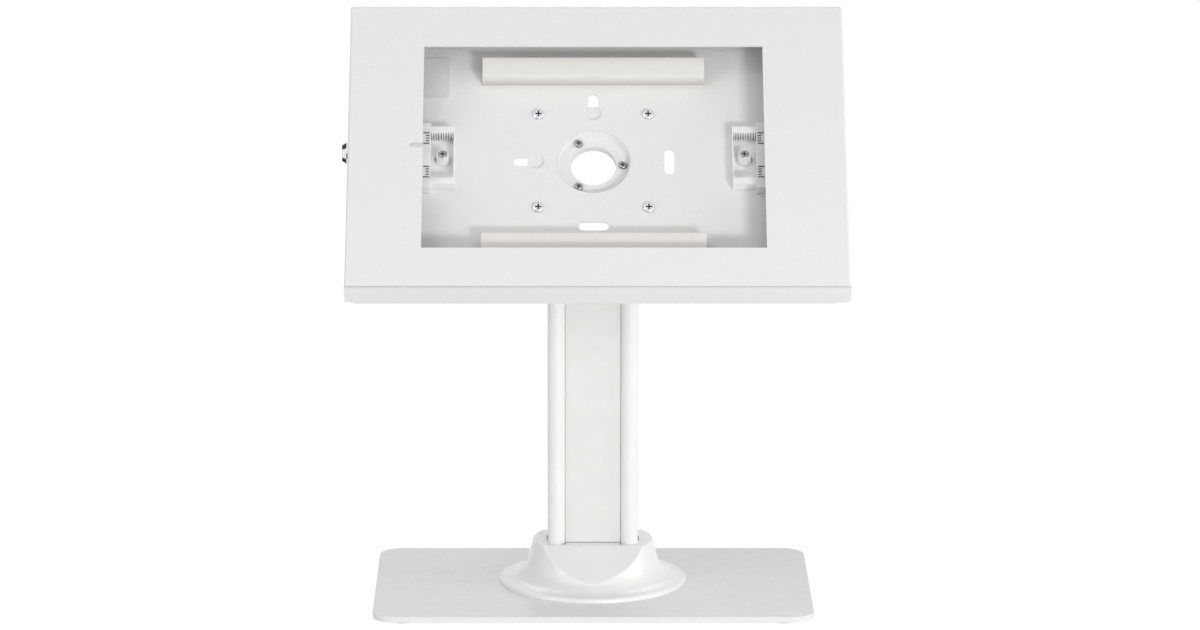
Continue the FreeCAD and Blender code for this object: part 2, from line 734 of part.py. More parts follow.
def head_bracket():
    """Cast yoke on the column's top: a foot, two uprights and the pivot barrel."""
    body = new_body("head_bracket")
    place_on_column(body)
    foot = sketch_on(body, "foot_outline", offset="size.column_top")
    column_section(foot, "0")
    pad(body, "foot", foot, "size.yoke_thickness")
    barrel = sketch_on(body, "barrel_outline", plane="YZ_Plane", offset=f"0 - {BARREL_HALF}")
    circle(barrel, "0", PIVOT_HEIGHT, "size.barrel_radius")
    pad(body, "barrel", barrel, f"{BARREL_HALF} * 2")
    reach = "(size.upright_inner + size.upright_thickness)"
    upright = sketch_on(body, "upright_outline", plane="YZ_Plane", offset=f"0 - {reach}")
    foot_top = "(size.column_top + size.yoke_thickness)"
    polygon(upright, [("0 - size.upright_depth / 2", foot_top), ("size.upright_depth / 2", foot_top),
                      ("size.barrel_radius", PIVOT_HEIGHT),
                      ("0 - size.barrel_radius", PIVOT_HEIGHT)])
    pad(body, "upright", upright, f"{reach} * 2")
    gap = sketch_on(body, "gap_outline", plane="XZ_Plane", offset="0")
    rounded_rectangle(gap, "0 - size.upright_inner", "size.upright_inner", foot_top,
                      f"{PIVOT_HEIGHT} - size.barrel_radius - 1", "3")
    pocket(body, "cable_gap", gap)
    bore = sketch_on(body, "bore_outline", plane="YZ_Plane", offset="0")
    circle(bore, "0", PIVOT_HEIGHT, "size.bolt_radius + size.bolt_play")
    pocket(body, "bolt_bore", bore)
    holes = sketch_on(body, "hole_outline", offset=foot_top)
    for sx in ("0 - size.port_x", "size.port_x"):
        for sy in ("0 - size.port_y", "size.port_y"):
            circle(holes, sx, sy, "size.port_radius + size.thread_play")
    drilled = pocket(body, "screw_holes", holes)
    mouths = hole_rims(drilled, foot_top, "size.port_radius + size.thread_play")
    dress(body, "Chamfer", "countersinks", drilled, mouths,
          "size.column_head_radius - size.port_radius")
    passage = sketch_on(body, "passage_outline", offset=foot_top)
    rounded_rectangle(passage, "2 - size.upright_inner", "size.upright_inner - 2", "0 - 8", "8", "3")
    pocket(body, "cable_passage", passage)


def tilt_bracket():
    """Bent steel bracket: a web behind the mounting plate and two cheeks back to the pivot."""
    body = new_body("tilt_bracket")
    place_on_head(body)
    web = sketch_on(body, "web_outline", offset=WEB_BACK)
    rounded_rectangle(web, f"0 - {CHEEK_OUTER}", CHEEK_OUTER, "0 - size.web_height / 2",
                      "size.web_height / 2", "size.web_corner")
    circle(web, "0", "0", "size.hub_radius + size.running_gap")
    circle(web, "0", "0 - size.stop_pin_place", "size.stop_pin_radius")
    pad(body, "web", web, "size.web_thickness")
    cheek = sketch_on(body, "cheek_outline", plane="YZ_Plane", offset=CHEEK_INNER)
    polygon(cheek, [("0 - size.cheek_root / 2", WEB_FRONT), ("0 - size.cheek_root / 2", WEB_BACK),
                    ("0 - size.barrel_radius", "0 - size.pivot_back"),
                    ("size.barrel_radius", "0 - size.pivot_back"),
                    ("size.cheek_root / 2", WEB_BACK), ("size.cheek_root / 2", WEB_FRONT)])
    plate = pad(body, "cheek", cheek, "size.web_thickness")
    nose = sketch_on(body, "nose_outline", plane="YZ_Plane", offset=CHEEK_INNER)
    circle(nose, "0", "0 - size.pivot_back", "size.barrel_radius")
    rounded = pad(body, "nose", nose, "size.web_thickness")
    mirror = body.newObject("PartDesign::Mirrored", "other_cheek")
    mirror.Originals = [plate, rounded]
    mirror.MirrorPlane = (web, ["V_Axis"])
    body.Tip = mirror
    doc.recompute()
    bore = sketch_on(body, "bore_outline", plane="YZ_Plane", offset="0")
    circle(bore, "0", "0 - size.pivot_back", "size.bolt_radius + size.bolt_play")
    bored = pocket(body, "bolt_bores", bore)
    front = value_of(WEB_FRONT)
    outer = value_of(CHEEK_OUTER)
    bends = edges_where(bored, lambda c, b: abs(c.z - front) < 0.01 and abs(abs(c.x) - outer) < 0.01
                        and b.XLength < 0.01)
    dress(body, "Fillet", "bends", bored, bends, "size.web_thickness * 0.8")


def tilt_bolt():
    """Button-head pivot bolt with a hexagon socket."""
    body = new_body("tilt_bolt")
    place_on_head(body, z="(0 - size.pivot_back)")
    shank = sketch_on(body, "shank_outline", plane="YZ_Plane", offset=f"0 - {CHEEK_OUTER}")
    circle(shank, "0", "0", "size.bolt_radius")
    pad(body, "shank", shank, f"{CHEEK_OUTER} * 2 + size.nut_height + 1")
    head = sketch_on(body, "head_outline", plane="YZ_Plane", offset=f"0 - {CHEEK_OUTER}")
    circle(head, "0", "0", "size.bolt_head_radius")
    button = pad(body, "head", head, "size.bolt_head_height", downward=True)
    end = value_of(f"0 - {CHEEK_OUTER} - size.bolt_head_height")
    rim = edges_where(button, lambda c, b: abs(c.x - end) < 0.01 and b.XLength < 0.01)
    dress(body, "Fillet", "button", button, rim, "size.bolt_head_height * 0.7")
    socket = sketch_on(body, "socket_outline", plane="YZ_Plane",
                       offset=f"0 - {CHEEK_OUTER} - size.bolt_head_height")
    hexagon(socket, "0", "0", "size.bolt_radius * 1.2")
    pocket(body, "socket", socket, "size.bolt_head_height * 0.55", upward=True)


def hexagon(sketch, x, y, flat):
    """Draw a hexagon of a given width across flats, its flats square to the sketch's Y."""
    side = f"({flat} / 2 * 1.1547)"
    half = f"({flat} / 2)"
    points = [(f"{x} + {side}", y), (f"{x} + {side} / 2", f"{y} + {half}"),
              (f"{x} - {side} / 2", f"{y} + {half}"), (f"{x} - {side}", y),
              (f"{x} - {side} / 2", f"{y} - {half}"), (f"{x} + {side} / 2", f"{y} - {half}")]
    polygon(sketch, points)


def tilt_nut():
    """Self-locking nut on the pivot bolt."""
    body = new_body("tilt_nut")
    place_on_head(body, z="(0 - size.pivot_back)")
    outline = sketch_on(body, "outline", plane="YZ_Plane", offset=CHEEK_OUTER)
    hexagon(outline, "0", "0", "size.nut_flat")
    circle(outline, "0", "0", "size.bolt_radius + size.thread_play")
    pad(body, "hexagon", outline, "size.nut_height * 0.7")
    crown = sketch_on(body, "crown_outline", plane="YZ_Plane", offset=CHEEK_OUTER)
    circle(crown, "0", "0", "size.nut_flat * 0.46")
    circle(crown, "0", "0", "size.bolt_radius + size.thread_play")
    pad(body, "crown", crown, "size.nut_height")


def tilt_washers():
    """Friction washers between the pivot barrel and the bracket's cheeks."""
    body = new_body("tilt_washers")
    place_on_head(body, z="(0 - size.pivot_back)")
    outline = sketch_on(body, "outline", plane="YZ_Plane", offset=WASHER_INNER)
    circle(outline, "0", "0", "size.barrel_radius - 0.5")
    circle(outline, "0", "0", "size.bolt_radius + size.bolt_play")
    right = pad(body, "right_washer", outline, "size.tilt_washer")
    mirror = body.newObject("PartDesign::Mirrored", "left_washer")
    mirror.Originals = [right]
    mirror.MirrorPlane = (next(f for f in body.Origin.OriginFeatures if f.Role == "YZ_Plane"), [""])
    body.Tip = mirror
    doc.recompute()


def swivel_washers():
    """Two thin friction rings, one on each side of the bracket's web."""
    body = new_body("swivel_washers")
    place_on_head(body)
    for name, low in (("front_ring", WEB_FRONT), ("rear_ring", f"({WEB_BACK} - size.swivel_washer)")):
        outline = sketch_on(body, f"{name}_outline", offset=low)
        circle(outline, "0", "0", "size.swivel_washer_radius")
        circle(outline, "0", "0", "size.hub_radius + size.running_gap * 2")
        pad(body, name, outline, "size.swivel_washer - size.running_gap")


def swivel_stop_pin():
    """Pin in the web that stops the swivel at a quarter turn either way."""
    body = new_body("swivel_stop_pin")
    place_on_head(body)
    outline = sketch_on(body, "outline", offset=WEB_FRONT)
    circle(outline, "0", "0 - size.stop_pin_place", "size.stop_pin_radius")
    pad(body, "pin", outline, "size.web_thickness + size.swivel_washer + size.ring_thickness * 0.8",
        downward=True)


def vesa_plate():
    """Square mounting plate with a dished hub and a cable hole."""
    body = new_body("vesa_plate")
    place_on_head(body)
    outline = sketch_on(body, "outline", offset=MOUNT_BACK)
    half = "size.plate_width / 2"
    rounded_rectangle(outline, f"0 - {half}", half, f"0 - {half}", half, "size.plate_corner")
    pad(body, "square", outline, "size.plate_thickness")
    hub = sketch_on(body, "hub_outline", offset=DISH_BACK)
    circle(hub, "0", "0", "size.hub_radius")
    pad(body, "hub", hub, "size.dish_depth + size.plate_thickness / 2")
    dish = sketch_on(body, "dish_outline", plane="XZ_Plane")
    polygon(dish, [("0", DISH_FLOOR), ("size.dish_floor_radius", DISH_FLOOR),
                   ("size.dish_radius", PANEL_BACK), ("size.dish_radius", "1"), ("0", "1")])
    revolve(body, "dish", dish, cut=True)
    holes = sketch_on(body, "cable_outline", offset=DISH_BACK)
    circle(holes, "0", "0", "size.cable_radius")
    pocket(body, "cable_hole", holes)
    first = sketch_on(body, "screw_outline", offset=DISH_BACK)
    circle(first, "size.swivel_screw_circle", "0", "size.screw_radius + size.screw_play")
    drilled = pocket(body, "screw_hole", first)
    repeat_round(body, "screw_holes", [drilled], first, 3)
    corner = sketch_on(body, "corner_outline", offset=MOUNT_BACK)
    circle(corner, "0 - size.pattern / 2", "0 - size.pattern / 2", "size.screw_radius + size.screw_play")
    tapped = pocket(body, "corner_hole", corner)
    repeat_grid(body, "corner_holes", [tapped], corner, "size.pattern", "size.pattern")


def swivel_ring():
    """Retaining ring behind the web, with a raised half that meets the stop pin."""
    body = new_body("swivel_ring")
    place_on_head(body)
    step = sketch_on(body, "step_outline", offset=RING_BACK)
    circle(step, "0", "0", "size.ring_step_radius")
    pad(body, "step", step, "size.ring_thickness")
    lobe = sketch_on(body, "lobe_outline", offset=RING_BACK)
    disc_segment(lobe, "size.ring_radius", "size.stop_pin_radius + size.running_gap * 2")
    pad(body, "lobe", lobe, "size.ring_thickness")
    hole = sketch_on(body, "cable_outline", offset=RING_BACK)
    circle(hole, "0", "0", "size.cable_radius")
    pocket(body, "cable_hole", hole)
    first = sketch_on(body, "screw_outline", offset=RING_BACK)
    circle(first, "size.swivel_screw_circle", "0", "size.screw_radius + size.thread_play")
    drilled = pocket(body, "screw_hole", first)
    repeat_round(body, "screw_holes", [drilled], first, 3)


def swivel_screws():
    """Three screws through the dish floor into the retaining ring."""
    body = new_body("swivel_screws")
    place_on_head(body)
    features, crown, sketch = pan_screw(
        body, "size.swivel_screw_circle", "0", DISH_FLOOR, "size.swivel_head_radius",
        "size.swivel_head_height", "size.screw_radius", "size.plate_thickness + size.ring_thickness")
    repeat_round(body, "three_screws", [features[0], features[1], crown, *features[2:]], sketch, 3)


def vesa_screws():
    """Four pan-head screws through the panel into the mounting plate."""
    body = new_body("vesa_screws")
    place_on_head(body)
    corner = "(0 - size.pattern / 2)"
    features, crown, sketch = pan_screw(body, corner, corner, "0", "size.pan_head_radius",
                                        "size.pan_head_height", "size.screw_radius",
                                        "size.pattern_screw_length")
    repeat_grid(body, "four_screws", [features[0], features[1], crown, *features[2:]], sketch,
                "size.pattern", "size.pattern")


def keyhole(body, name, across):
    """Cut one keyhole into the panel: across the left side, or upwards at the top."""
    entry = sketch_on(body, f"{name}_entry_outline")
    neck = sketch_on(body, f"{name}_neck_outline")
    half = "(size.keyhole_slot_width / 2)"
    if across:
        circle(entry, "0 - size.keyhole_place", "0", "size.keyhole_radius")
        straight_slot(neck, ("(0 - size.keyhole_slot_place)", "0"), ("(0 - size.keyhole_place)", "0"), half)
    else:
        circle(entry, "0", "size.keyhole_place", "size.keyhole_radius")
        straight_slot(neck, ("0", "size.keyhole_place"), ("0", "size.keyhole_slot_place"), half)
    pocket(body, f"{name}_entry", entry)
    pocket(body, f"{name}_neck", neck)


def rear_casing():
    """Folded steel tray: back panel, four walls and the front lip that takes the cover's tabs."""
    body = new_body("rear_casing")
    place_on_head(body)
    outline = sketch_on(body, "outline", offset=PANEL_BACK)
    rectangle(outline, CASE_LEFT, CASE_RIGHT, COVER_BOTTOM, CASE_TOP)
    block = pad(body, "block", outline, f"size.sheet + {CASE_FRONT}")
    back = value_of(PANEL_BACK)
    folds = edges_where(block, lambda c, b: abs(b.ZMax - back) < 0.01)
    dress(body, "Fillet", "folds", block, folds, "size.bend_radius")
    inside = sketch_on(body, "inside_outline", offset=CASE_FRONT)
    rectangle(inside, f"{CASE_LEFT} + size.sheet", f"{CASE_RIGHT} - size.sheet",
              BAND_TOP, f"{CASE_TOP} - size.sheet")
    pocket(body, "inside", inside, CASE_FRONT)
    band = sketch_on(body, "band_outline", plane="XZ_Plane", offset=f"0 - {COVER_BOTTOM}")
    shoulder = "(size.relief_height - size.sheet)"
    left = f"({COVER_LEFT} - size.band_overhang)"
    right = f"({COVER_RIGHT} + size.band_overhang)"
    polygon(band, [(left, CASE_FRONT), (left, shoulder), (f"{left} + size.relief_left", shoulder),
                   (f"{left} + size.relief_left", f"{CASE_FRONT} / 2"),
                   (f"{right} - size.relief_right", f"{CASE_FRONT} / 2"),
                   (f"{right} - size.relief_right", shoulder), (right, shoulder), (right, CASE_FRONT)])
    pad(body, "bottom_band", band, "size.sheet", downward=True)
    relief = sketch_on(body, "relief_outline", plane="XZ_Plane", offset=f"0 - {COVER_BOTTOM}")
    rectangle(relief, left, f"{left} + size.relief_left", f"{PANEL_BACK} - 1", shoulder)
    rectangle(relief, f"{right} - size.relief_right", right, f"{PANEL_BACK} - 1", shoulder)
    pocket(body, "corner_reliefs", relief, "size.sheet", upward=False)
    lip = sketch_on(body, "lip_outline", offset=CASE_FRONT)
    rectangle(lip, CASE_LEFT, CASE_RIGHT, BAND_TOP, f"{BAND_TOP} + size.lip_height")
    pad(body, "front_lip", lip, "size.sheet", downward=True)
    mouth = sketch_on(body, "mouth_outline", offset=CASE_FRONT)
    centred_rectangle(mouth, "(0 - size.tab_spacing)", f"({BAND_TOP} + size.tab_slot_height / 2)",
                      "(size.tab_width + size.tab_slot_play)", "size.tab_slot_height")
    first_mouth = pocket(body, "tab_mouth", mouth, "size.sheet")
    repeat_along(body, "tab_mouths", [first_mouth], mouth, "H_Axis", "size.tab_spacing * 2", "3")
    lock_notch = sketch_on(body, "lock_notch_outline", plane="YZ_Plane", offset=f"{CASE_LEFT} - 1")
    reach = "(size.lock_nut_flat / 2 * 1.1547 + size.lock_notch_play)"
    rectangle(lock_notch, f"0 - {reach}", reach,
              "size.lock_height - size.lock_nut_flat / 2 - size.lock_notch_play", "size.cover_face")
    pocket(body, "lock_notch", lock_notch, "size.sheet + 2", upward=True)
    opening = sketch_on(body, "opening_outline")
    circle(opening, "0", "0", "size.panel_opening_radius")
    rounded_rectangle(opening, f"{CAMERA_X} - size.camera_hole / 2", f"{CAMERA_X} + size.camera_hole / 2",
                      f"{CAMERA_Y} - size.camera_hole / 2", f"{CAMERA_Y} + size.camera_hole / 2",
                      "size.camera_hole_corner")
    half_width = "(size.slot_width / 2)"
    half_run = "(size.slot_length / 2 - size.slot_width / 2)"
    straight_slot(opening, ("size.slot_place", f"(0 - {half_run})"), ("size.slot_place", half_run),
                  half_width)
    straight_slot(opening, (f"(0 - {half_run})", "(0 - size.slot_place)"),
                  (half_run, "(0 - size.slot_place)"), half_width)
    for side in (f"(0 - {BOSS_X})", BOSS_X):
        circle(opening, side, "0", "size.boss_bore_radius")
    for side in ("-", "+"):
        circle(opening, CAMERA_SCREW_X, f"{CAMERA_Y} {side} size.camera_screw_spacing / 2",
               "size.small_screw_radius + size.thread_play")
    circle(opening, CATCH_X, CATCH_SCREW_Y, "size.small_screw_radius + size.thread_play")
    for sx in ("0 - size.pattern / 2", "size.pattern / 2"):
        for sy in ("0 - size.pattern / 2", "size.pattern / 2"):
            circle(opening, sx, sy, "size.screw_radius + size.screw_play")
    pocket(body, "panel_openings", opening)
    keyhole(body, "left_keyhole", True)
    keyhole(body, "top_keyhole", False)


def front_cover():
    """Pressed steel cover with the display window, three skirts and three hook tabs."""
    body = new_body("front_cover")
    place_on_head(body)
    outline = sketch_on(body, "outline", offset="size.cover_face")
    rectangle(outline, COVER_LEFT, COVER_RIGHT, COVER_BOTTOM, COVER_TOP)
    block = pad(body, "block", outline, "size.cover_skirt", downward=True)
    face = value_of("size.cover_face")
    low = value_of(COVER_BOTTOM)
    left = value_of(COVER_LEFT)
    right = value_of(COVER_RIGHT)
    top = value_of(COVER_TOP)
    bends = edges_where(block, lambda c, b: (b.ZMin > face - 0.01 and c.y > low + 0.01)
                        or (b.ZLength > 1 and abs(c.y - top) < 0.01))
    dress(body, "Fillet", "bends", block, bends, "size.bend_radius")
    inside = sketch_on(body, "inside_outline", offset=COVER_INNER)
    rectangle(inside, f"{COVER_LEFT} + size.sheet", f"{COVER_RIGHT} - size.sheet",
              f"{COVER_BOTTOM} - 1", f"{COVER_TOP} - size.sheet")
    pocket(body, "inside", inside, "size.cover_skirt")
    foot = sketch_on(body, "foot_outline", offset=f"{COVER_INNER} - size.seam / 2")
    rectangle(foot, f"{COVER_LEFT} - 1", f"{COVER_RIGHT} + 1", f"{COVER_BOTTOM} - 1",
              f"{BAND_TOP} + size.flange_play")
    pocket(body, "skirt_ends", foot, "size.cover_skirt")
    window = sketch_on(body, "window_outline", offset="size.cover_face")
    rectangle(window, "0 - size.window_width / 2", "size.window_width / 2",
              "size.window_centre - size.window_height / 2", "size.window_centre + size.window_height / 2")
    pocket(body, "window", window, "size.sheet + 1")
    notch = sketch_on(body, "notch_outline", offset="size.cover_face")
    radius = "(size.notch_width / 2)"
    straight_slot(notch, (f"(0 - size.window_width / 2 - size.notch_length + {radius})", "size.notch_centre"),
                  ("(0 - size.window_width / 2)", "size.notch_centre"), radius)
    pocket(body, "camera_notch", notch, "size.sheet + 1")
    lock_hole = sketch_on(body, "lock_outline", plane="YZ_Plane", offset=f"{COVER_LEFT} - 1")
    circle(lock_hole, "0", "size.lock_height", "size.lock_barrel_radius + size.lock_hole_play")
    pocket(body, "lock_hole", lock_hole, "size.sheet + 2", upward=True)
    tab = sketch_on(body, "tab_outline", offset=COVER_INNER)
    tab_low = f"({COVER_BOTTOM} + size.tab_level)"
    rectangle(tab, "0 - size.tab_spacing - size.tab_width / 2", "0 - size.tab_spacing + size.tab_width / 2",
              tab_low, f"{tab_low} + size.sheet")
    first = pad(body, "tab", tab, "size.tab_length", downward=True)
    repeat_along(body, "tabs", [first], tab, "H_Axis", "size.tab_spacing * 2", "3")


def foam_pad(name, edge, sign):
    """Foam pad on the panel, inside one edge of the window, that cushions the tablet's back."""
    body = new_body(name)
    place_on_head(body)
    outline = sketch_on(body, "outline")
    centred_rectangle(outline, "0", f"({edge} {sign} size.pad_inset + size.pad_rise)",
                      "size.pad_width", "size.pad_height")
    block = pad(body, "block", outline, "size.pad_thickness")
    height = value_of("size.pad_thickness")
    rim = edges_where(block, lambda c, b: abs(b.ZMin - height) < 0.01)
    dress(body, "Chamfer", "edge", block, rim, "size.pad_chamfer")


def rear_camera_plate():
    """Small plate that closes the rear-camera opening."""
    body = new_body("rear_camera_plate")
    place_on_head(body)
    outline = sketch_on(body, "outline")
    rounded_rectangle(outline, f"{CAMERA_X} - size.camera_plate_width / 2",
                      f"{CAMERA_X} + size.camera_plate_width / 2",
                      f"{CAMERA_Y} - size.camera_plate_height / 2",
                      f"{CAMERA_Y} + size.camera_plate_height / 2", "size.camera_plate_corner")
    for side in ("-", "+"):
        circle(outline, CAMERA_SCREW_X, f"{CAMERA_Y} {side} size.camera_screw_spacing / 2",
               "size.small_screw_radius + size.thread_play")
    pad(body, "plate", outline, "size.camera_plate_thickness")


def rear_camera_screws():
    """Two small screws that hold the rear-camera plate."""
    body = new_body("rear_camera_screws")
    place_on_head(body)
    features, crown, sketch = pan_screw(
        body, CAMERA_SCREW_X, f"({CAMERA_Y} - size.camera_screw_spacing / 2)",
        "size.camera_plate_thickness", "size.small_head_radius", "size.small_head_height",
        "size.small_screw_radius", "size.camera_plate_thickness + size.sheet")
    repeat_along(body, "two_screws", [features[0], features[1], crown, *features[2:]], sketch,
                 "V_Axis", "size.camera_screw_spacing", "2")


def tablet_clamp(name, side):
    """Moulded sliding clamp: toothed channel, marked block and end stop."""
    body = new_body(name)
    place_on_head(body)

    def across(near, far):
        """Order two distances from the middle as left and right edges on this side."""
        return (near, far) if side > 0 else (f"0 - {far}", f"0 - {near}")

    def slab(label, near, far, half_low, half_high, bottom, top):
        """Add a block between two distances from the middle."""
        sketch = sketch_on(body, f"{label}_outline", offset=bottom)
        rectangle(sketch, *across(near, far), half_low, half_high)
        return pad(body, label, sketch, f"{top} - {bottom}")

    low = "size.clamp_lift"
    top = "size.clamp_top"
    half_block = "size.clamp_block_length / 2"
    half_channel = "size.channel_length / 2"
    floor_top = "(size.clamp_lift + size.clamp_floor)"
    slab("floor", CLAMP_INNER, CLAMP_STEP, f"0 - {half_channel}", half_channel, low, floor_top)
    slab("block", CLAMP_STEP, CLAMP_OUTER, f"0 - {half_block}", half_block, low, top)
    slab("end_stop", f"({CLAMP_OUTER} - size.clamp_wall)", CLAMP_OUTER,
         f"0 - {half_block}", half_block, low, "size.clamp_stop_top")
    slab("end_wall", CLAMP_INNER, f"({CLAMP_INNER} + size.channel_end)",
         f"0 - {half_channel}", half_channel, low, top)
    rail_edge = f"({half_channel} - size.channel_rail)"
    slab("upper_rail", CLAMP_INNER, CLAMP_STEP, rail_edge, half_channel, low, top)
    slab("lower_rail", CLAMP_INNER, CLAMP_STEP, f"0 - {half_channel}",
         f"0 - {rail_edge}", low, top)
    teeth = sketch_on(body, "tooth_outline", offset=floor_top)
    start = f"({CLAMP_INNER} + size.channel_end + size.tooth_margin)"
    centre = start if side > 0 else f"(0 - {start})"
    root = "size.tooth_width / 2"
    tip = "size.tooth_tip / 2"
    deep = f"({rail_edge} - size.tooth_depth)"
    for sign in ("", "0 - "):
        polygon(teeth, [(f"{centre} - {root}", f"{sign}{rail_edge}"),
                        (f"{centre} + {root}", f"{sign}{rail_edge}"),
                        (f"{centre} + {tip}", f"{sign}{deep}"),
                        (f"{centre} - {tip}", f"{sign}{deep}")])
    first = pad(body, "tooth_pair", teeth, f"{top} - {floor_top}")
    row = repeat_along(body, "teeth", [first], teeth, "H_Axis",
                       "size.tooth_pitch * (size.tooth_count - 1)", "size.tooth_count")
    row.Reversed = side < 0
    doc.recompute()
    under = sketch_on(body, "under_outline", offset=low)
    rectangle(under, *across(f"({CLAMP_STEP} + size.clamp_skin)",
                             f"({CLAMP_OUTER} - size.clamp_wall - size.clamp_skin)"),
              f"size.clamp_skin - {half_block}", f"{half_block} - size.clamp_skin")
    pocket(body, "hollow", under, "size.clamp_top - size.clamp_lift - size.clamp_skin", upward=True)
    slot = sketch_on(body, "slot_outline", offset=floor_top)
    radius = "(size.boss_spigot_radius + size.clamp_lift)"
    near, far = across(f"({CLAMP_INNER} + size.channel_end + size.boss_base_radius)",
                       f"({CLAMP_STEP} - size.boss_base_radius)")
    straight_slot(slot, (f"({near})", "0"), (f"({far})", "0"), radius)
    pocket(body, "travel_slot", slot, "size.clamp_floor")


def clamp_boss(name, side):
    """Conical spacer that stands in the clamp's slot and takes its screw."""
    body = new_body(name)
    place_on_head(body, x=f"{side} * {BOSS_X}")
    profile = sketch_on(body, "outline", plane="XZ_Plane")
    sink = "(size.boss_top - size.boss_sink)"
    counterbore = "(size.clamp_head_radius + size.thread_play)"
    polygon(profile, [("size.boss_bore_radius", "0"), ("size.boss_spigot_radius", "0"),
                      ("size.boss_spigot_radius", BOSS_SEAT), ("size.boss_base_radius", BOSS_SEAT),
                      ("size.boss_top_radius", "size.boss_top"), (counterbore, "size.boss_top"),
                      (counterbore, sink), ("size.boss_bore_radius", sink)])
    revolve(body, "boss", profile)


def clamp_screws():
    """Two screws down through the clamp bosses into the panel."""
    body = new_body("clamp_screws")
    place_on_head(body)
    seat = "(size.boss_top - size.boss_sink)"
    features, crown, sketch = pan_screw(
        body, f"(0 - {BOSS_X})", "0", seat, "size.clamp_head_radius", "size.clamp_head_height",
        "size.boss_bore_radius - size.thread_play", f"{seat} + size.clamp_screw_end")
    repeat_along(body, "two_screws", [features[0], features[1], crown, *features[2:]], sketch,
                 "H_Axis", f"{BOSS_X} * 2", "2")


def lock_barrel():
    """Chromed lock barrel with a tapered face ring, through the cover's left skirt."""
    body = new_body("lock_barrel")
    place_on_head(body, z="size.lock_height")
    profile = sketch_on(body, "outline")
    bore = "(size.plug_radius + size.plug_play)"
    front = f"({COVER_LEFT} - size.lock_collar_height)"
    polygon(profile, [(front, bore), (CAM_FACE, bore), (CAM_FACE, "size.lock_barrel_radius"),
                      (COVER_LEFT, "size.lock_barrel_radius"), (COVER_LEFT, "size.lock_collar_radius"),
                      (f"{COVER_LEFT} - 1", "size.lock_collar_radius"), (front, "size.lock_collar_top")])
    revolve(body, "barrel", profile, axis="H_Axis")


def lock_nut():
    """Flat nut that holds the lock barrel from inside the cover."""
    body = new_body("lock_nut")
    place_on_head(body, z="size.lock_height")
    outline = sketch_on(body, "outline", plane="YZ_Plane", offset=f"{COVER_LEFT} + size.sheet")
    hexagon(outline, "0", "0", "size.lock_nut_flat")
    circle(outline, "0", "0", "size.lock_barrel_radius + size.thread_play")
    pad(body, "nut", outline, "size.lock_nut_height")


def lock_plug():
    """Turning plug with its keyway."""
    body = new_body("lock_plug")
    place_on_head(body, z="size.lock_height")
    front = f"({COVER_LEFT} - size.lock_collar_height + size.plug_recess)"
    outline = sketch_on(body, "outline", plane="YZ_Plane", offset=front)
    circle(outline, "0", "0", "size.plug_radius")
    pad(body, "plug", outline, f"{CAM_FACE} - {front} + size.running_gap")
    keyway = sketch_on(body, "keyway_outline", plane="YZ_Plane", offset=front)
    centred_rectangle(keyway, "0", "0", "size.keyway_width", "size.keyway_length")
    pocket(body, "keyway", keyway, "size.keyway_depth", upward=True)
    thread = sketch_on(body, "thread_outline", plane="YZ_Plane", offset=f"{CAM_FACE} + size.running_gap")
    circle(thread, "0", "0", "size.cam_screw_radius + size.thread_play")
    pocket(body, "screw_hole", thread, "6")


def lock_cam():
    """Flat cam on the plug's end that swings under the catch."""
    body = new_body("lock_cam")
    place_on_head(body, z="size.lock_height")
    outline = sketch_on(body, "outline", plane="YZ_Plane", offset=f"{CAM_FACE} + size.running_gap")
    rounded_rectangle(outline, "0 - size.cam_width / 2", "size.cam_width / 2",
                      "0 - size.cam_reach", "size.cam_heel", "1.5")
    circle(outline, "0", "0", "size.cam_screw_radius + size.thread_play")
    pad(body, "cam", outline, "size.cam_thickness")


def lock_cam_screw():
    """Screw that holds the cam to the plug."""
    body = new_body("lock_cam_screw")
    place_on_head(body, z="size.lock_height")
    seat = f"({CAM_FACE} + size.running_gap + size.cam_thickness)"
    head = sketch_on(body, "head_outline", plane="YZ_Plane", offset=seat)
    circle(head, "0", "0", "size.cam_head_radius")
    pad(body, "head", head, "size.cam_head_height")
    shank = sketch_on(body, "shank_outline", plane="YZ_Plane", offset=seat)
    circle(shank, "0", "0", "size.cam_screw_radius")
    pad(body, "shank", shank, "size.cam_thickness + 5", downward=True)


CATCH_X = f"({CAM_FACE} + size.catch_play / 2 + size.catch_width / 2)"
CATCH_LEG = "(size.cam_reach + size.catch_play * 2)"
CATCH_SCREW_Y = f"({CATCH_LEG} + size.catch_sheet + size.catch_foot / 2)"


def lock_catch():
    """Folded catch on the panel: the locked cam lies under its lip."""
    body = new_body("lock_catch")
    place_on_head(body, x=CATCH_X)
    outline = sketch_on(body, "outline", plane="YZ_Plane", offset="0 - size.catch_width / 2")
    under = "(size.lock_height + size.cam_width / 2 + size.catch_play)"
    over = f"({under} + size.catch_sheet)"
    tip = "(size.cam_reach - size.catch_lap)"
    back = f"({CATCH_LEG} + size.catch_sheet)"
    toe = f"({back} + size.catch_foot)"
    polygon(outline, [(CATCH_LEG, "0"), (toe, "0"), (toe, "size.catch_sheet"), (back, "size.catch_sheet"),
                      (back, over), (tip, over), (tip, under), (CATCH_LEG, under)])
    pad(body, "strip", outline, "size.catch_width")
    hole = sketch_on(body, "hole_outline")
    circle(hole, "0", CATCH_SCREW_Y, "size.small_screw_radius + size.thread_play")
    pocket(body, "screw_hole", hole, "size.sheet * 2", upward=True)


def lock_catch_screw():
    """Small screw that holds the catch to the panel."""
    body = new_body("lock_catch_screw")
    place_on_head(body, x=CATCH_X)
    pan_screw(body, "0", CATCH_SCREW_Y, "size.catch_sheet", "size.small_head_radius",
              "size.small_head_height", "size.small_screw_radius", "size.catch_sheet + size.sheet")


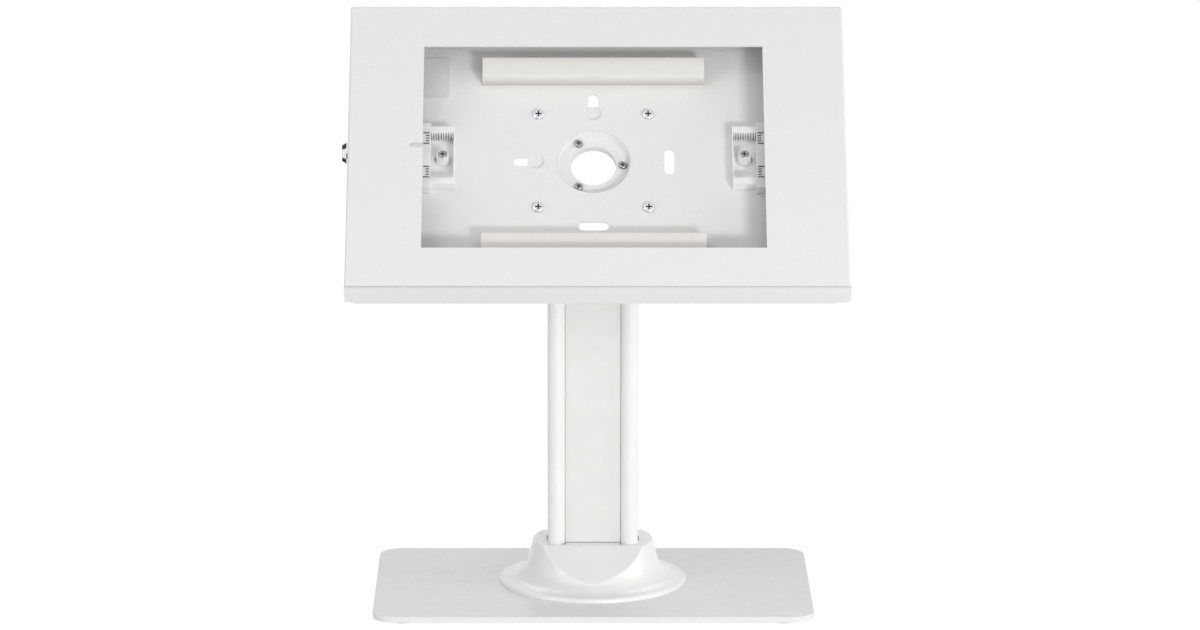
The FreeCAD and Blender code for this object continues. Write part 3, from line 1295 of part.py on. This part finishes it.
base_plate()
base_feet()
column_profile()
column_strip("column_front_strip", -1)
column_strip("column_rear_strip", 1)
base_collar()
column_screws("column_base_screws", PLATE_BOTTOM, downward=False)
head_bracket()
column_screws("head_bracket_screws", "(size.column_top + size.yoke_thickness)", downward=True)
tilt_bracket()
tilt_bolt()
tilt_nut()
tilt_washers()
swivel_washers()
swivel_stop_pin()
vesa_plate()
swivel_ring()
swivel_screws()
rear_casing()
vesa_screws()
foam_pad("foam_pad_top", WINDOW_TOP, "-")
foam_pad("foam_pad_bottom", WINDOW_BOTTOM, "+")
rear_camera_plate()
rear_camera_screws()
tablet_clamp("tablet_clamp_left", -1)
tablet_clamp("tablet_clamp_right", 1)
clamp_boss("clamp_boss_left", -1)
clamp_boss("clamp_boss_right", 1)
clamp_screws()
front_cover()
lock_barrel()
lock_nut()
lock_plug()
lock_cam()
lock_cam_screw()
lock_catch()
lock_catch_screw()

doc.recompute()
for item in doc.Objects:
    if "Invalid" in item.State or "Error" in item.State:
        raise RuntimeError(f"{item.Label}: {item.State}")
os.makedirs("parts", exist_ok=True)
for node in nodes:
    if node.Shape.isNull() or not node.Shape.isValid():
        raise RuntimeError(f"{node.Label}: its shape is not valid")
    node.Shape.exportStep(f"parts/{node.Label}.step")
    print(node.Label, len(node.Shape.Solids), round(node.Shape.Volume, 1))
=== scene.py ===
import json
import math

import bmesh
import bpy
from mathutils import Matrix, Vector

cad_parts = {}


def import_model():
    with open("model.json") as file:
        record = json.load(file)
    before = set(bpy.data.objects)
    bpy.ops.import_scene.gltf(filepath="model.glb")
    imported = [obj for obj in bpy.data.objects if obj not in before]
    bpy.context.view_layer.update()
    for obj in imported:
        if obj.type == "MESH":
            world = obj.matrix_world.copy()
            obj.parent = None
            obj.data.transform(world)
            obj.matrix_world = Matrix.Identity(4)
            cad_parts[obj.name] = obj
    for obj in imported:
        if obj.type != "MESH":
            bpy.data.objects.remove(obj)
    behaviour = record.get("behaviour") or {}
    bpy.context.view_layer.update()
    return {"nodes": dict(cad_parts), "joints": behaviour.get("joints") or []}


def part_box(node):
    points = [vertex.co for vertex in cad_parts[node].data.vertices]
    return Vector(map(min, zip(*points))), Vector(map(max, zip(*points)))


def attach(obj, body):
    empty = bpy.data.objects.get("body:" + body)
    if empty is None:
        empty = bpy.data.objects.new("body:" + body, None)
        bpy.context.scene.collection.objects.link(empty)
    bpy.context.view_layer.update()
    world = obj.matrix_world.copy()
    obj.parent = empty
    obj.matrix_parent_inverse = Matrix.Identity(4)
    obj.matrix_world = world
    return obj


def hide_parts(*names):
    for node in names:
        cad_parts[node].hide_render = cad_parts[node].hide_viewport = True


# Looks of the tabletop tablet holder, in metres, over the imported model.

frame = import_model()
nodes = frame["nodes"]
joints = {joint["name"]: joint for joint in frame["joints"]}

MM = 0.001

# Camera
LENS = 157.07
SENSOR_WIDTH = 36.0
CAMERA_PLACE = (-0.0212, -3.5179, 0.9623)
CAMERA_PITCH = math.radians(77.783)
CAMERA_SHIFT = 0.0314
CAMERA_REACH = 50.0

# Paint and plastic colours, as linear light
COAT_WHITE = (0.81, 0.81, 0.81)
COLUMN_WHITE = (0.82, 0.82, 0.82)
PLATE_WHITE = (0.77, 0.77, 0.775)
CAMERA_PLATE_GREY = (0.73, 0.73, 0.735)
COLLAR_WHITE = (0.82, 0.82, 0.815)
PLASTIC_WHITE = (0.75, 0.75, 0.745)
CLAMP_WHITE = (0.90, 0.90, 0.895)
FOAM_CREAM = (0.80, 0.785, 0.75)
RUBBER_GREY = (0.60, 0.60, 0.60)
# Painted shade: the shadow in the seam between the front cover and the casing
SEAM_SHADE_GREY = (0.60, 0.60, 0.60)
MARK_GREY = (0.10, 0.10, 0.105)
CHROME_GREY = (0.78, 0.78, 0.79)
ZINC_GREY = (0.72, 0.72, 0.73)
DARK_STEEL = (0.34, 0.34, 0.36)
# Painted shade: near-black colour for screw driver recesses, in place of the shade in them
RECESS_SHADE_GREY = (0.06, 0.06, 0.065)
WASHER_IVORY = (0.72, 0.70, 0.64)

# The head's own axes: across, up along the panel, and out of it towards the viewer
HEAD_ORIGIN = Vector(joints["swivel"]["pos_m"])
HEAD_OUT = Vector(joints["swivel"]["axis"]).normalized()
HEAD_ACROSS = Vector((1.0, 0.0, 0.0))
HEAD_UP = HEAD_OUT.cross(HEAD_ACROSS)
HEAD = Matrix((
    (HEAD_ACROSS.x, HEAD_UP.x, HEAD_OUT.x, HEAD_ORIGIN.x),
    (HEAD_ACROSS.y, HEAD_UP.y, HEAD_OUT.y, HEAD_ORIGIN.y),
    (HEAD_ACROSS.z, HEAD_UP.z, HEAD_OUT.z, HEAD_ORIGIN.z),
    (0.0, 0.0, 0.0, 1.0),
))
TO_HEAD = HEAD.inverted()

# The range that most of a noise texture's values lie in
NOISE_LOW = 0.33
NOISE_HIGH = 0.67

# How far roughness varies either way: by a step in coats and plastic, by a share of it in metal
COAT_STEP = 0.03
PLASTIC_STEP = 0.06
METAL_SHARE = 0.3

# The range of roughness in soft pieces
FOAM_ROUGHNESS = (0.82, 0.95)
RUBBER_ROUGHNESS = (0.65, 0.8)

# Clear coat over enamel, how far light sinks into plastic, and the samples that round edges
CLEAR_COAT = 0.6
CLEAR_COAT_ROUGHNESS = 0.12
CLOUDING_DEPTH = 3.0 * MM
EDGE_SAMPLES = 4


class Shade:
    """One material and the few node steps that the finishes here share."""

    def __init__(self, name):
        self.material = bpy.data.materials.new(name)
        self.material.use_nodes = True
        self.tree = self.material.node_tree
        self.shader = self.tree.nodes["Principled BSDF"]
        self.place = self.node("ShaderNodeTexCoord").outputs["Object"]

    def node(self, kind, **settings):
        """Add a node and set its properties."""
        made = self.tree.nodes.new(kind)
        for key, value in settings.items():
            setattr(made, key, value)
        return made

    def link(self, source, target):
        """Join two sockets."""
        self.tree.links.new(source, target)

    def noise(self, size, detail=2.0, roughness=0.5):
        """Return noise whose grains have about the given size."""
        made = self.node("ShaderNodeTexNoise")
        made.inputs["Scale"].default_value = 1.0 / size
        made.inputs["Detail"].default_value = detail
        made.inputs["Roughness"].default_value = roughness
        self.link(self.place, made.inputs["Vector"])
        return made.outputs["Fac"]

    def spread(self, value, low, high):
        """Stretch a noise value's usual range to low and high."""
        made = self.node("ShaderNodeMapRange")
        made.inputs["From Min"].default_value = NOISE_LOW
        made.inputs["From Max"].default_value = NOISE_HIGH
        made.inputs["To Min"].default_value = low
        made.inputs["To Max"].default_value = high
        self.link(value, made.inputs["Value"])
        return made.outputs["Result"]

    def tint(self, value, colour, contrast):
        """Vary the base colour about its own value, by noise."""
        made = self.node("ShaderNodeMix", data_type="RGBA")
        made.inputs["A"].default_value = (*[c * (1.0 - contrast) for c in colour], 1.0)
        made.inputs["B"].default_value = (*[min(1.0, c * (1.0 + contrast)) for c in colour], 1.0)
        self.link(self.spread(value, 0.0, 1.0), made.inputs["Factor"])
        self.link(made.outputs["Result"], self.shader.inputs["Base Color"])

    def roughen(self, value, low, high):
        """Vary the roughness from low to high, by noise."""
        self.link(self.spread(value, low, high), self.shader.inputs["Roughness"])

    def bump(self, height, depth, rounding=0.0):
        """Raise the surface by a height, over edges that may be rounded a little."""
        made = self.node("ShaderNodeBump")
        made.inputs["Strength"].default_value = 1.0
        made.inputs["Distance"].default_value = depth
        self.link(height, made.inputs["Height"])
        if rounding > 0.0:
            edge = self.node("ShaderNodeBevel", samples=EDGE_SAMPLES)
            edge.inputs["Radius"].default_value = rounding
            self.link(edge.outputs["Normal"], made.inputs["Normal"])
        self.link(made.outputs["Normal"], self.shader.inputs["Normal"])


def powder_coat(name, colour, roughness, grain, depth):
    """Powder coat: fine orange peel, slight unevenness of tone and of gloss."""
    shade = Shade(name)
    peel = shade.noise(grain, detail=3.0, roughness=0.55)
    cloud = shade.noise(size=28.0 * MM)
    shade.tint(peel, colour, contrast=0.018)
    shade.roughen(cloud, roughness - COAT_STEP, roughness + COAT_STEP)
    if depth > 0.0:
        shade.bump(peel, depth, rounding=0.25 * MM)
    return shade.material


def gloss_enamel(name, colour, roughness):
    """Glossy enamel over smooth metal or moulding, with a clear coat."""
    shade = Shade(name)
    wave = shade.noise(size=9.0 * MM, detail=1.0)
    shade.tint(shade.noise(size=40.0 * MM), colour, contrast=0.01)
    shade.roughen(wave, roughness - COAT_STEP, roughness + COAT_STEP)
    shade.shader.inputs["Coat Weight"].default_value = CLEAR_COAT
    shade.shader.inputs["Coat Roughness"].default_value = CLEAR_COAT_ROUGHNESS
    shade.bump(wave, depth=0.03 * MM)
    return shade.material


def moulded_plastic(name, colour, roughness=0.42, clouding=0.0):
    """Moulded plastic with a fine spark-eroded texture, into which light may sink a little."""
    shade = Shade(name)
    spark = shade.noise(size=0.35 * MM)
    shade.tint(shade.noise(size=12.0 * MM), colour, contrast=0.015)
    shade.roughen(spark, roughness - PLASTIC_STEP, roughness + PLASTIC_STEP)
    shade.bump(spark, depth=0.012 * MM, rounding=0.12 * MM)
    shade.shader.inputs["Subsurface Weight"].default_value = clouding
    shade.shader.inputs["Subsurface Radius"].default_value = (1.0, 1.0, 1.0)
    shade.shader.inputs["Subsurface Scale"].default_value = CLOUDING_DEPTH
    return shade.material


def metal(name, colour, roughness, grain=0.3 * MM):
    """Plated or polished metal with fine tooling marks."""
    shade = Shade(name)
    marks = shade.noise(grain, detail=3.0)
    shade.tint(marks, colour, contrast=0.06)
    shade.shader.inputs["Metallic"].default_value = 1.0
    shade.roughen(marks, roughness * (1.0 - METAL_SHARE), roughness * (1.0 + METAL_SHARE))
    shade.bump(marks, depth=0.006 * MM, rounding=0.1 * MM)
    return shade.material


def closed_foam(name, colour):
    """Closed-cell foam: soft, matt and finely pitted."""
    shade = Shade(name)
    cells = shade.node("ShaderNodeTexVoronoi")
    cells.inputs["Scale"].default_value = 1.0 / (0.7 * MM)
    shade.link(shade.place, cells.inputs["Vector"])
    soft = shade.noise(size=6.0 * MM, detail=3.0)
    shade.tint(soft, colour, contrast=0.012)
    shade.roughen(soft, *FOAM_ROUGHNESS)
    shade.bump(cells.outputs["Distance"], depth=0.025 * MM)
    return shade.material


def rubber(name, colour):
    """Matt rubber with a faint cloudiness."""
    shade = Shade(name)
    cloud = shade.noise(size=1.2 * MM, detail=4.0)
    shade.tint(cloud, colour, contrast=0.05)
    shade.roughen(cloud, *RUBBER_ROUGHNESS)
    shade.bump(cloud, depth=0.03 * MM)
    return shade.material


def paint(material, *names):
    """Give CAD nodes one finish."""
    for name in names:
        slots = nodes[name].data.materials
        slots.clear()
        slots.append(material)


def finish_nodes():
    """Give every CAD node that stays its finish."""
    paint(powder_coat("sheet_coat", COAT_WHITE, roughness=0.42, grain=0.9 * MM, depth=0.035 * MM),
          "front_cover", "rear_casing", "vesa_plate", "swivel_ring", "tilt_bracket", "head_bracket")
    paint(powder_coat("plate_coat", PLATE_WHITE, roughness=0.22, grain=6.0 * MM, depth=0.0),
          "base_plate")
    paint(powder_coat("camera_plate_coat", CAMERA_PLATE_GREY, roughness=0.45, grain=0.9 * MM,
                      depth=0.03 * MM), "rear_camera_plate")
    paint(gloss_enamel("collar_enamel", COLLAR_WHITE, roughness=0.34), "base_collar")
    paint(moulded_plastic("clamp_plastic", CLAMP_WHITE, clouding=0.6),
          "tablet_clamp_left", "tablet_clamp_right", "clamp_boss_left", "clamp_boss_right")
    paint(moulded_plastic("washer_plastic", WASHER_IVORY, roughness=0.35),
          "tilt_washers", "swivel_washers")
    paint(rubber("foot_rubber", RUBBER_GREY), "base_feet")
    paint(metal("chrome", CHROME_GREY, roughness=0.12), "lock_barrel", "lock_plug")
    paint(metal("bright_zinc", ZINC_GREY, roughness=0.20),
          "vesa_screws", "rear_camera_screws", "lock_catch_screw", "lock_cam_screw", "tilt_bolt",
          "tilt_nut", "head_bracket_screws", "column_base_screws", "lock_nut", "swivel_stop_pin")
    paint(metal("plated_steel", ZINC_GREY, roughness=0.42, grain=0.8 * MM), "lock_cam", "lock_catch")
    paint(metal("dark_screw_steel", DARK_STEEL, roughness=0.2), "swivel_screws", "clamp_screws")
    # Painted shade: the screws' driver recesses get a near-black colour in place of their shadow
    paint_recess_shade(metal("painted_recess_shade", RECESS_SHADE_GREY, roughness=0.5),
                    "vesa_screws", "clamp_screws", "rear_camera_screws", "swivel_screws")
    # Painted shade: the cover's lower cut edge gets a darker coat in place of the shadow in its seam
    # with the casing
    paint_seam_shade(powder_coat("painted_seam_shade", SEAM_SHADE_GREY, roughness=0.55, grain=0.9 * MM, depth=0.02 * MM))


def span(points):
    """Return the lowest and highest corners of some points."""
    low = Vector([min(p[i] for p in points) for i in range(3)])
    high = Vector([max(p[i] for p in points) for i in range(3)])
    return low, high


def box_in_head(node):
    """Return a node's lowest and highest corners along the head's own axes."""
    return span([TO_HEAD @ v.co for v in nodes[node].data.vertices])


SAME_PLACE = 0.001 * MM


def loose_parts(mesh):
    """Return the polygons of a mesh, grouped by the separate solids they belong to."""
    leader = list(range(len(mesh.vertices)))

    def find(i):
        while leader[i] != i:
            leader[i] = leader[leader[i]]
            i = leader[i]
        return i

    first_at = {}
    for v in mesh.vertices:
        spot = tuple(round(c / SAME_PLACE) for c in v.co)
        leader[v.index] = first_at.setdefault(spot, v.index)
    for edge in mesh.edges:
        a, b = (find(i) for i in edge.vertices)
        leader[a] = b
    groups = {}
    for polygon in mesh.polygons:
        groups.setdefault(find(polygon.vertices[0]), []).append(polygon)
    return groups.values()


RECESS_TOP = 0.05 * MM
RECESS_DEPTH = 1.2 * MM
RECESS_SHARE = 0.6


def paint_recess_shade(material, *names):
    """Paint shade into the driver recesses of screws that face the viewer: a near-black colour in place
    of the shade in them.
    """
    for name in names:
        mesh = nodes[name].data
        mesh.materials.append(material)
        dark = len(mesh.materials) - 1
        for polygons in loose_parts(mesh):
            low, high = span([TO_HEAD @ mesh.vertices[i].co for p in polygons for i in p.vertices])
            reach = (high.x - low.x) / 2 * RECESS_SHARE
            for polygon in polygons:
                centre = TO_HEAD @ polygon.center
                depth = high.z - centre.z
                off = (centre - (low + high) / 2).to_2d().length
                if off < reach and RECESS_TOP < depth < RECESS_DEPTH:
                    polygon.material_index = dark


COVER_SHEET = 1.5 * MM
SEAM_REACH = 0.1 * MM
FACING_COSINE = 0.95


def paint_seam_shade(material):
    """Paint the shadow of the cover's seam with the casing onto the cover's lower cut edge, as a darker
    coat.
    """
    mesh = nodes["front_cover"].data
    mesh.materials.append(material)
    shadow_slot = len(mesh.materials) - 1
    low, high = box_in_head("front_cover")
    for polygon in mesh.polygons:
        centre = TO_HEAD @ polygon.center
        faces_down = polygon.normal.dot(HEAD_UP) < -FACING_COSINE
        lowest = centre.y - low.y < SEAM_REACH
        in_front = high.z - centre.z < COVER_SHEET
        if faces_down and lowest and in_front:
            polygon.material_index = shadow_slot


def new_piece(name, mesh_builder, material, place=HEAD, crease=None):
    """Make a mesh object from a bmesh that a function fills, in the head's frame or at a given place."""
    mesh = bpy.data.meshes.new(name)
    bm = bmesh.new()
    mesh_builder(bm)
    bm.normal_update()
    bm.transform(place)
    bm.to_mesh(mesh)
    bm.free()
    mesh.materials.append(material)
    for polygon in mesh.polygons:
        polygon.use_smooth = True
    if crease is not None:
        mesh.set_sharp_from_angle(angle=crease)
    piece = bpy.data.objects.new(name, mesh)
    bpy.context.scene.collection.objects.link(piece)
    return piece


PAD_EDGE = 0.35 * MM
PAD_EDGE_STEPS = 3
PAD_EDGE_FULLNESS = 0.6
PAD_CROWN = 0.15 * MM
CROWN_POWER_ACROSS = 4
CROWN_POWER_ALONG = 2
PAD_STEP = 3.0 * MM
PAD_CUTS_ALONG = 5
PAD_FACE_BAND = 0.01 * MM


def foam_block(low, high):
    """Return a builder for a foam block with soft edges and a slightly crowned face."""

    def build(bm):
        size = high - low
        middle = (low + high) / 2
        bmesh.ops.create_cube(bm, size=1.0)
        bmesh.ops.scale(bm, vec=size - Vector((0.0, 0.0, PAD_CROWN)), verts=bm.verts)
        bmesh.ops.translate(bm, vec=middle - Vector((0.0, 0.0, PAD_CROWN / 2)), verts=bm.verts)
        base = low.z + PAD_EDGE
        rim = [e for e in bm.edges if max(v.co.z for v in e.verts) > base]
        bmesh.ops.bevel(bm, geom=rim, offset=PAD_EDGE, segments=PAD_EDGE_STEPS, affect="EDGES",
                        profile=PAD_EDGE_FULLNESS)
        for axis, cuts in ((0, int(size.x / PAD_STEP)), (1, PAD_CUTS_ALONG)):
            edges = [e for e in bm.edges
                     if abs(e.verts[0].co[axis] - e.verts[1].co[axis]) > size[axis] / 2]
            bmesh.ops.subdivide_edges(bm, edges=edges, cuts=cuts, use_grid_fill=True)
        face = high.z - PAD_CROWN - PAD_FACE_BAND
        for v in bm.verts:
            if v.co.z > face:
                across = 1.0 - (2.0 * (v.co.x - middle.x) / size.x) ** CROWN_POWER_ACROSS
                along = 1.0 - (2.0 * (v.co.y - middle.y) / size.y) ** CROWN_POWER_ALONG
                v.co.z += PAD_CROWN * max(0.0, across) * max(0.0, along)

    return build


def foam_pads():
    """Replace the plain pads by foam with soft edges."""
    foam = closed_foam("foam", FOAM_CREAM)
    for side in ("top", "bottom"):
        node = f"foam_pad_{side}"
        pad = new_piece(f"foam_{side}", foam_block(*box_in_head(node)), foam)
        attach(pad, "head")
        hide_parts(node)


MARK_HEIGHT = 0.04 * MM
MARK_EDGE = 0.3 * MARK_HEIGHT
MARK_WIDTH = 0.9 * MM
MARK_PITCH = 2.1 * MM
MARK_COUNT = 5
MARK_LENGTH = 2.4 * MM
MARK_END_LENGTH = 4.2 * MM
MARK_CENTRES = (13.5 * MM, -13.5 * MM)
MARK_SETBACK = 17.2 * MM
MARK_LEVEL = 8.5 * MM


def tick_marks(end, side):
    """Return a builder for two short scales of tick marks, set back from a clamp's inner end."""

    def build(bm):
        start = end + side * MARK_SETBACK
        for centre in MARK_CENTRES:
            for i in range(MARK_COUNT):
                y = centre + (i - (MARK_COUNT - 1) / 2) * MARK_PITCH
                length = MARK_END_LENGTH if i in (0, MARK_COUNT - 1) else MARK_LENGTH
                made = bmesh.ops.create_cube(bm, size=1.0)["verts"]
                bmesh.ops.scale(bm, vec=(length, MARK_WIDTH, MARK_HEIGHT), verts=made)
                place = Vector((start + side * length / 2, y, MARK_LEVEL + MARK_HEIGHT / 2))
                bmesh.ops.translate(bm, vec=place, verts=made)
        bmesh.ops.bevel(bm, geom=bm.edges[:], offset=MARK_EDGE, segments=1, affect="EDGES")

    return build


def clamp_marks():
    """Print plain tick marks on the two tablet clamps."""
    ink = moulded_plastic("mark_ink", MARK_GREY, roughness=0.6)
    for name, side in (("left", -1), ("right", 1)):
        low, high = box_in_head(f"tablet_clamp_{name}")
        end = low.x if side > 0 else high.x
        marks = new_piece(f"clamp_marks_{name}", tick_marks(end, side), ink)
        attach(marks, f"clamp_{name}")


LOBE_RADIUS = 6.15 * MM
LOBE_STEPS = 20
STRIP_RECESS = 5.5 * MM
STRIP_THICKNESS = 2.0 * MM
STRIP_GAP = 0.15 * MM
STRIP_FOOT_GAP = 0.3 * MM
TONGUE_HEIGHT = 3.0 * MM
COLLAR_PLAY = 0.6 * MM
CREASE = math.radians(30.0)

# The column is as wide and deep as the bracket at its top, and stands under it
bracket_low, bracket_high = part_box("head_bracket")
COLUMN_HALF_WIDTH = (bracket_high.x - bracket_low.x) / 2
COLUMN_HALF_DEPTH = (bracket_high.y - bracket_low.y) / 2
COLUMN_PLACE = Matrix.Translation(((bracket_low.x + bracket_high.x) / 2,
                                   (bracket_low.y + bracket_high.y) / 2, 0.0))


def drawn_bar(section, foot, top):
    """Return a builder for a bar that draws a section, points across and along, from foot to top."""

    def build(bm):
        face = bm.faces.new([bm.verts.new((x, y, foot)) for x, y in section])
        drawn = bmesh.ops.extrude_face_region(bm, geom=[face])["geom"]
        verts = [v for v in drawn if isinstance(v, bmesh.types.BMVert)]
        bmesh.ops.translate(bm, vec=(0.0, 0.0, top - foot), verts=verts)
        bmesh.ops.recalc_face_normals(bm, faces=bm.faces)

    return build


def lobed_section(half_width, half_depth, floor_depth):
    """Return the column's section: half-round lobes at its corners, a groove at front and rear."""
    centre = Vector((half_width - LOBE_RADIUS, LOBE_RADIUS - half_depth))
    front = [(half_width - 2 * LOBE_RADIUS, -floor_depth)]
    for i in range(LOBE_STEPS + 1):
        turn = math.pi * (1 + i / LOBE_STEPS)
        x = centre.x + LOBE_RADIUS * math.cos(turn)
        y = centre.y + LOBE_RADIUS * math.sin(turn)
        front.append((x, y))
    right = front + [(x, -y) for x, y in reversed(front)]
    return right + [(-x, -y) for x, y in right]


def flat_section(half_width, near, far):
    """Return a plain section from near to far."""
    return [(-half_width, near), (half_width, near), (half_width, far), (-half_width, far)]


def base_piece(name, node, section, foot, top, material, stands_for=True):
    """Add a drawn bar that rides on the base and may stand for a node, which it then hides."""
    piece = new_piece(name, drawn_bar(section, foot, top), material, COLUMN_PLACE, CREASE)
    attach(piece, "base")
    if stands_for:
        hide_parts(node)


def column():
    """Replace the column and its strips by ones with rounder lobes and deeper-set strips."""
    enamel = gloss_enamel("column_enamel", COLUMN_WHITE, roughness=0.22)
    plastic = moulded_plastic("strip_plastic", PLASTIC_WHITE, roughness=0.5)
    collar_enamel = nodes["base_collar"].data.materials[0]
    foot, top = (corner.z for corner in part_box("column_profile"))
    collar_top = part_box("base_collar")[1].z
    strip_face = COLUMN_HALF_DEPTH - STRIP_RECESS
    strip_back = strip_face - STRIP_THICKNESS
    strip_half = COLUMN_HALF_WIDTH - 2 * LOBE_RADIUS - STRIP_GAP
    tongue_face = COLUMN_HALF_DEPTH + COLLAR_PLAY
    tongue_back = strip_face - STRIP_THICKNESS / 2

    section = lobed_section(COLUMN_HALF_WIDTH, COLUMN_HALF_DEPTH, strip_back)
    base_piece("column", "column_profile", section, foot, top, enamel)
    for side, sign in (("front", -1), ("rear", 1)):
        strip = flat_section(strip_half, sign * strip_face, sign * strip_back)
        base_piece(f"strip_{side}", f"column_{side}_strip", strip, collar_top + STRIP_FOOT_GAP, top,
                   plastic)
        tongue = flat_section(strip_half, sign * tongue_face, sign * tongue_back)
        base_piece(f"collar_tongue_{side}", "base_collar", tongue, collar_top - TONGUE_HEIGHT,
                   collar_top, collar_enamel, stands_for=False)


def camera():
    """Stand the camera where the photograph was taken."""
    data = bpy.data.cameras.new("camera")
    data.sensor_fit = "HORIZONTAL"
    data.sensor_width = SENSOR_WIDTH
    data.lens = LENS
    data.shift_x = CAMERA_SHIFT
    data.clip_end = CAMERA_REACH
    made = bpy.data.objects.new("camera", data)
    made.location = CAMERA_PLACE
    made.rotation_euler = (CAMERA_PITCH, 0.0, 0.0)
    bpy.context.scene.collection.objects.link(made)
    bpy.context.scene.camera = made


def seen_directly(tree):
    """Return 1 for what the camera, a reflection or glass shows, and 0 for what lights a surface."""
    path = tree.nodes.new("ShaderNodeLightPath")
    total = path.outputs["Is Camera Ray"]
    for other in ("Is Glossy Ray", "Is Transmission Ray"):
        larger = tree.nodes.new("ShaderNodeMath")
        larger.operation = "MAXIMUM"
        tree.links.new(total, larger.inputs[0])
        tree.links.new(path.outputs[other], larger.inputs[1])
        total = larger.outputs["Value"]
    return total


def flat_square(name, size, material):
    """Add a flat square, for what stands around the object."""
    mesh = bpy.data.meshes.new(name)
    bm = bmesh.new()
    bmesh.ops.create_grid(bm, x_segments=1, y_segments=1, size=size / 2)
    bm.to_mesh(mesh)
    bm.free()
    mesh.materials.append(material)
    square = bpy.data.objects.new(name, mesh)
    bpy.context.scene.collection.objects.link(square)
    return square


FLOOR_SIZE = 14.0
FLOOR_COLOUR = (0.88, 0.88, 0.88, 1.0)
FLOOR_GLOW = 1.09
FLOOR_GLOW_SHARE = 0.88


def floor():
    """Lay a plain pale floor that looks white and still takes the object's shadow."""
    material = bpy.data.materials.new("floor")
    material.use_nodes = True
    tree = material.node_tree
    tree.nodes.remove(tree.nodes["Principled BSDF"])
    matt = tree.nodes.new("ShaderNodeBsdfDiffuse")
    matt.inputs["Color"].default_value = FLOOR_COLOUR
    glow = tree.nodes.new("ShaderNodeEmission")
    glow.inputs["Strength"].default_value = FLOOR_GLOW
    share = tree.nodes.new("ShaderNodeMath")
    share.operation = "MULTIPLY"
    share.inputs[1].default_value = FLOOR_GLOW_SHARE
    mix = tree.nodes.new("ShaderNodeMixShader")
    tree.links.new(seen_directly(tree), share.inputs[0])
    tree.links.new(share.outputs["Value"], mix.inputs["Fac"])
    tree.links.new(matt.outputs["BSDF"], mix.inputs[1])
    tree.links.new(glow.outputs["Emission"], mix.inputs[2])
    tree.links.new(mix.outputs["Shader"], tree.nodes["Material Output"].inputs["Surface"])
    material.cycles.emission_sampling = "NONE"
    made = flat_square("floor", FLOOR_SIZE, material)


WORLD_WHITE = (1.0, 1.0, 1.0, 1.0)
WORLD_LIGHT = 0.415


def world():
    """Light the object gently from white surroundings."""
    made = bpy.data.worlds.new("studio")
    made.use_nodes = True
    tree = made.node_tree
    background = tree.nodes["Background"]
    background.inputs["Color"].default_value = WORLD_WHITE
    level = tree.nodes.new("ShaderNodeMapRange")
    level.inputs["To Min"].default_value = WORLD_LIGHT
    level.inputs["To Max"].default_value = 1.0
    tree.links.new(seen_directly(tree), level.inputs["Value"])
    tree.links.new(level.outputs["Result"], background.inputs["Strength"])
    bpy.context.scene.world = made


HEAD_MIDDLE = (0.0, -0.02, 0.31)
BASE_MIDDLE = (0.0, 0.0, 0.05)


def softbox(name, place, aim, width, height, power):
    """Add a soft rectangular lamp."""
    data = bpy.data.lights.new(name, "AREA")
    data.shape = "RECTANGLE"
    data.size = width
    data.size_y = height
    data.energy = power
    made = bpy.data.objects.new(name, data)
    made.location = place
    made.rotation_euler = (Vector(aim) - Vector(place)).to_track_quat("-Z", "Y").to_euler()
    made.visible_camera = False
    bpy.context.scene.collection.objects.link(made)


def lamps():
    """Set a small key lamp low at the front right, and large faint boxes all around."""
    softbox("key", place=(0.98, -2.29, 0.06), aim=HEAD_MIDDLE, width=0.5, height=0.4, power=33.0)
    softbox("front", place=(0.9, -2.35, 1.15), aim=HEAD_MIDDLE, width=1.5, height=1.0, power=8.2)
    softbox("left", place=(-1.3, -0.9, 0.5), aim=HEAD_MIDDLE, width=0.5, height=0.8, power=3.6)
    softbox("top_left", place=(-0.8, -0.6, 1.5), aim=HEAD_MIDDLE, width=0.8, height=0.8, power=3.2)
    softbox("right", place=(1.4, -0.3, 0.5), aim=BASE_MIDDLE, width=0.9, height=0.9, power=5.6)
    softbox("back_top", place=(0.0, 1.3, 1.3), aim=BASE_MIDDLE, width=1.4, height=0.8, power=4.7)


CARD_DISTANCE = 0.15
CARD_SIZE = 0.14
CARD_COLOUR = (0.01, 0.01, 0.01, 1.0)
CARD_DIRECTIONS = ((-0.82, 0.30, 0.50), (-0.72, 0.30, -0.63), (0.0, -0.93, -0.36))


def black_cards():
    """Hold small black cards beside the chrome lock, which only reflections see."""
    material = bpy.data.materials.new("black_card")
    material.use_nodes = True
    shader = material.node_tree.nodes["Principled BSDF"]
    shader.inputs["Base Color"].default_value = CARD_COLOUR
    lock = Vector(joints["lock_turn"]["pos_m"])
    for number, direction in enumerate(CARD_DIRECTIONS, 1):
        card = flat_square(f"black_card_{number}", CARD_SIZE, material)
        card.location = lock + CARD_DISTANCE * Vector(direction)
        card.rotation_euler = Vector(direction).to_track_quat("Z", "Y").to_euler()
        card.visible_camera = False
        card.visible_diffuse = False
        card.visible_shadow = False
        card.visible_transmission = False


finish_nodes()
foam_pads()
clamp_marks()
column()
floor()
world()
lamps()
black_cards()
camera()
bpy.context.scene.view_settings.view_transform = "Standard"
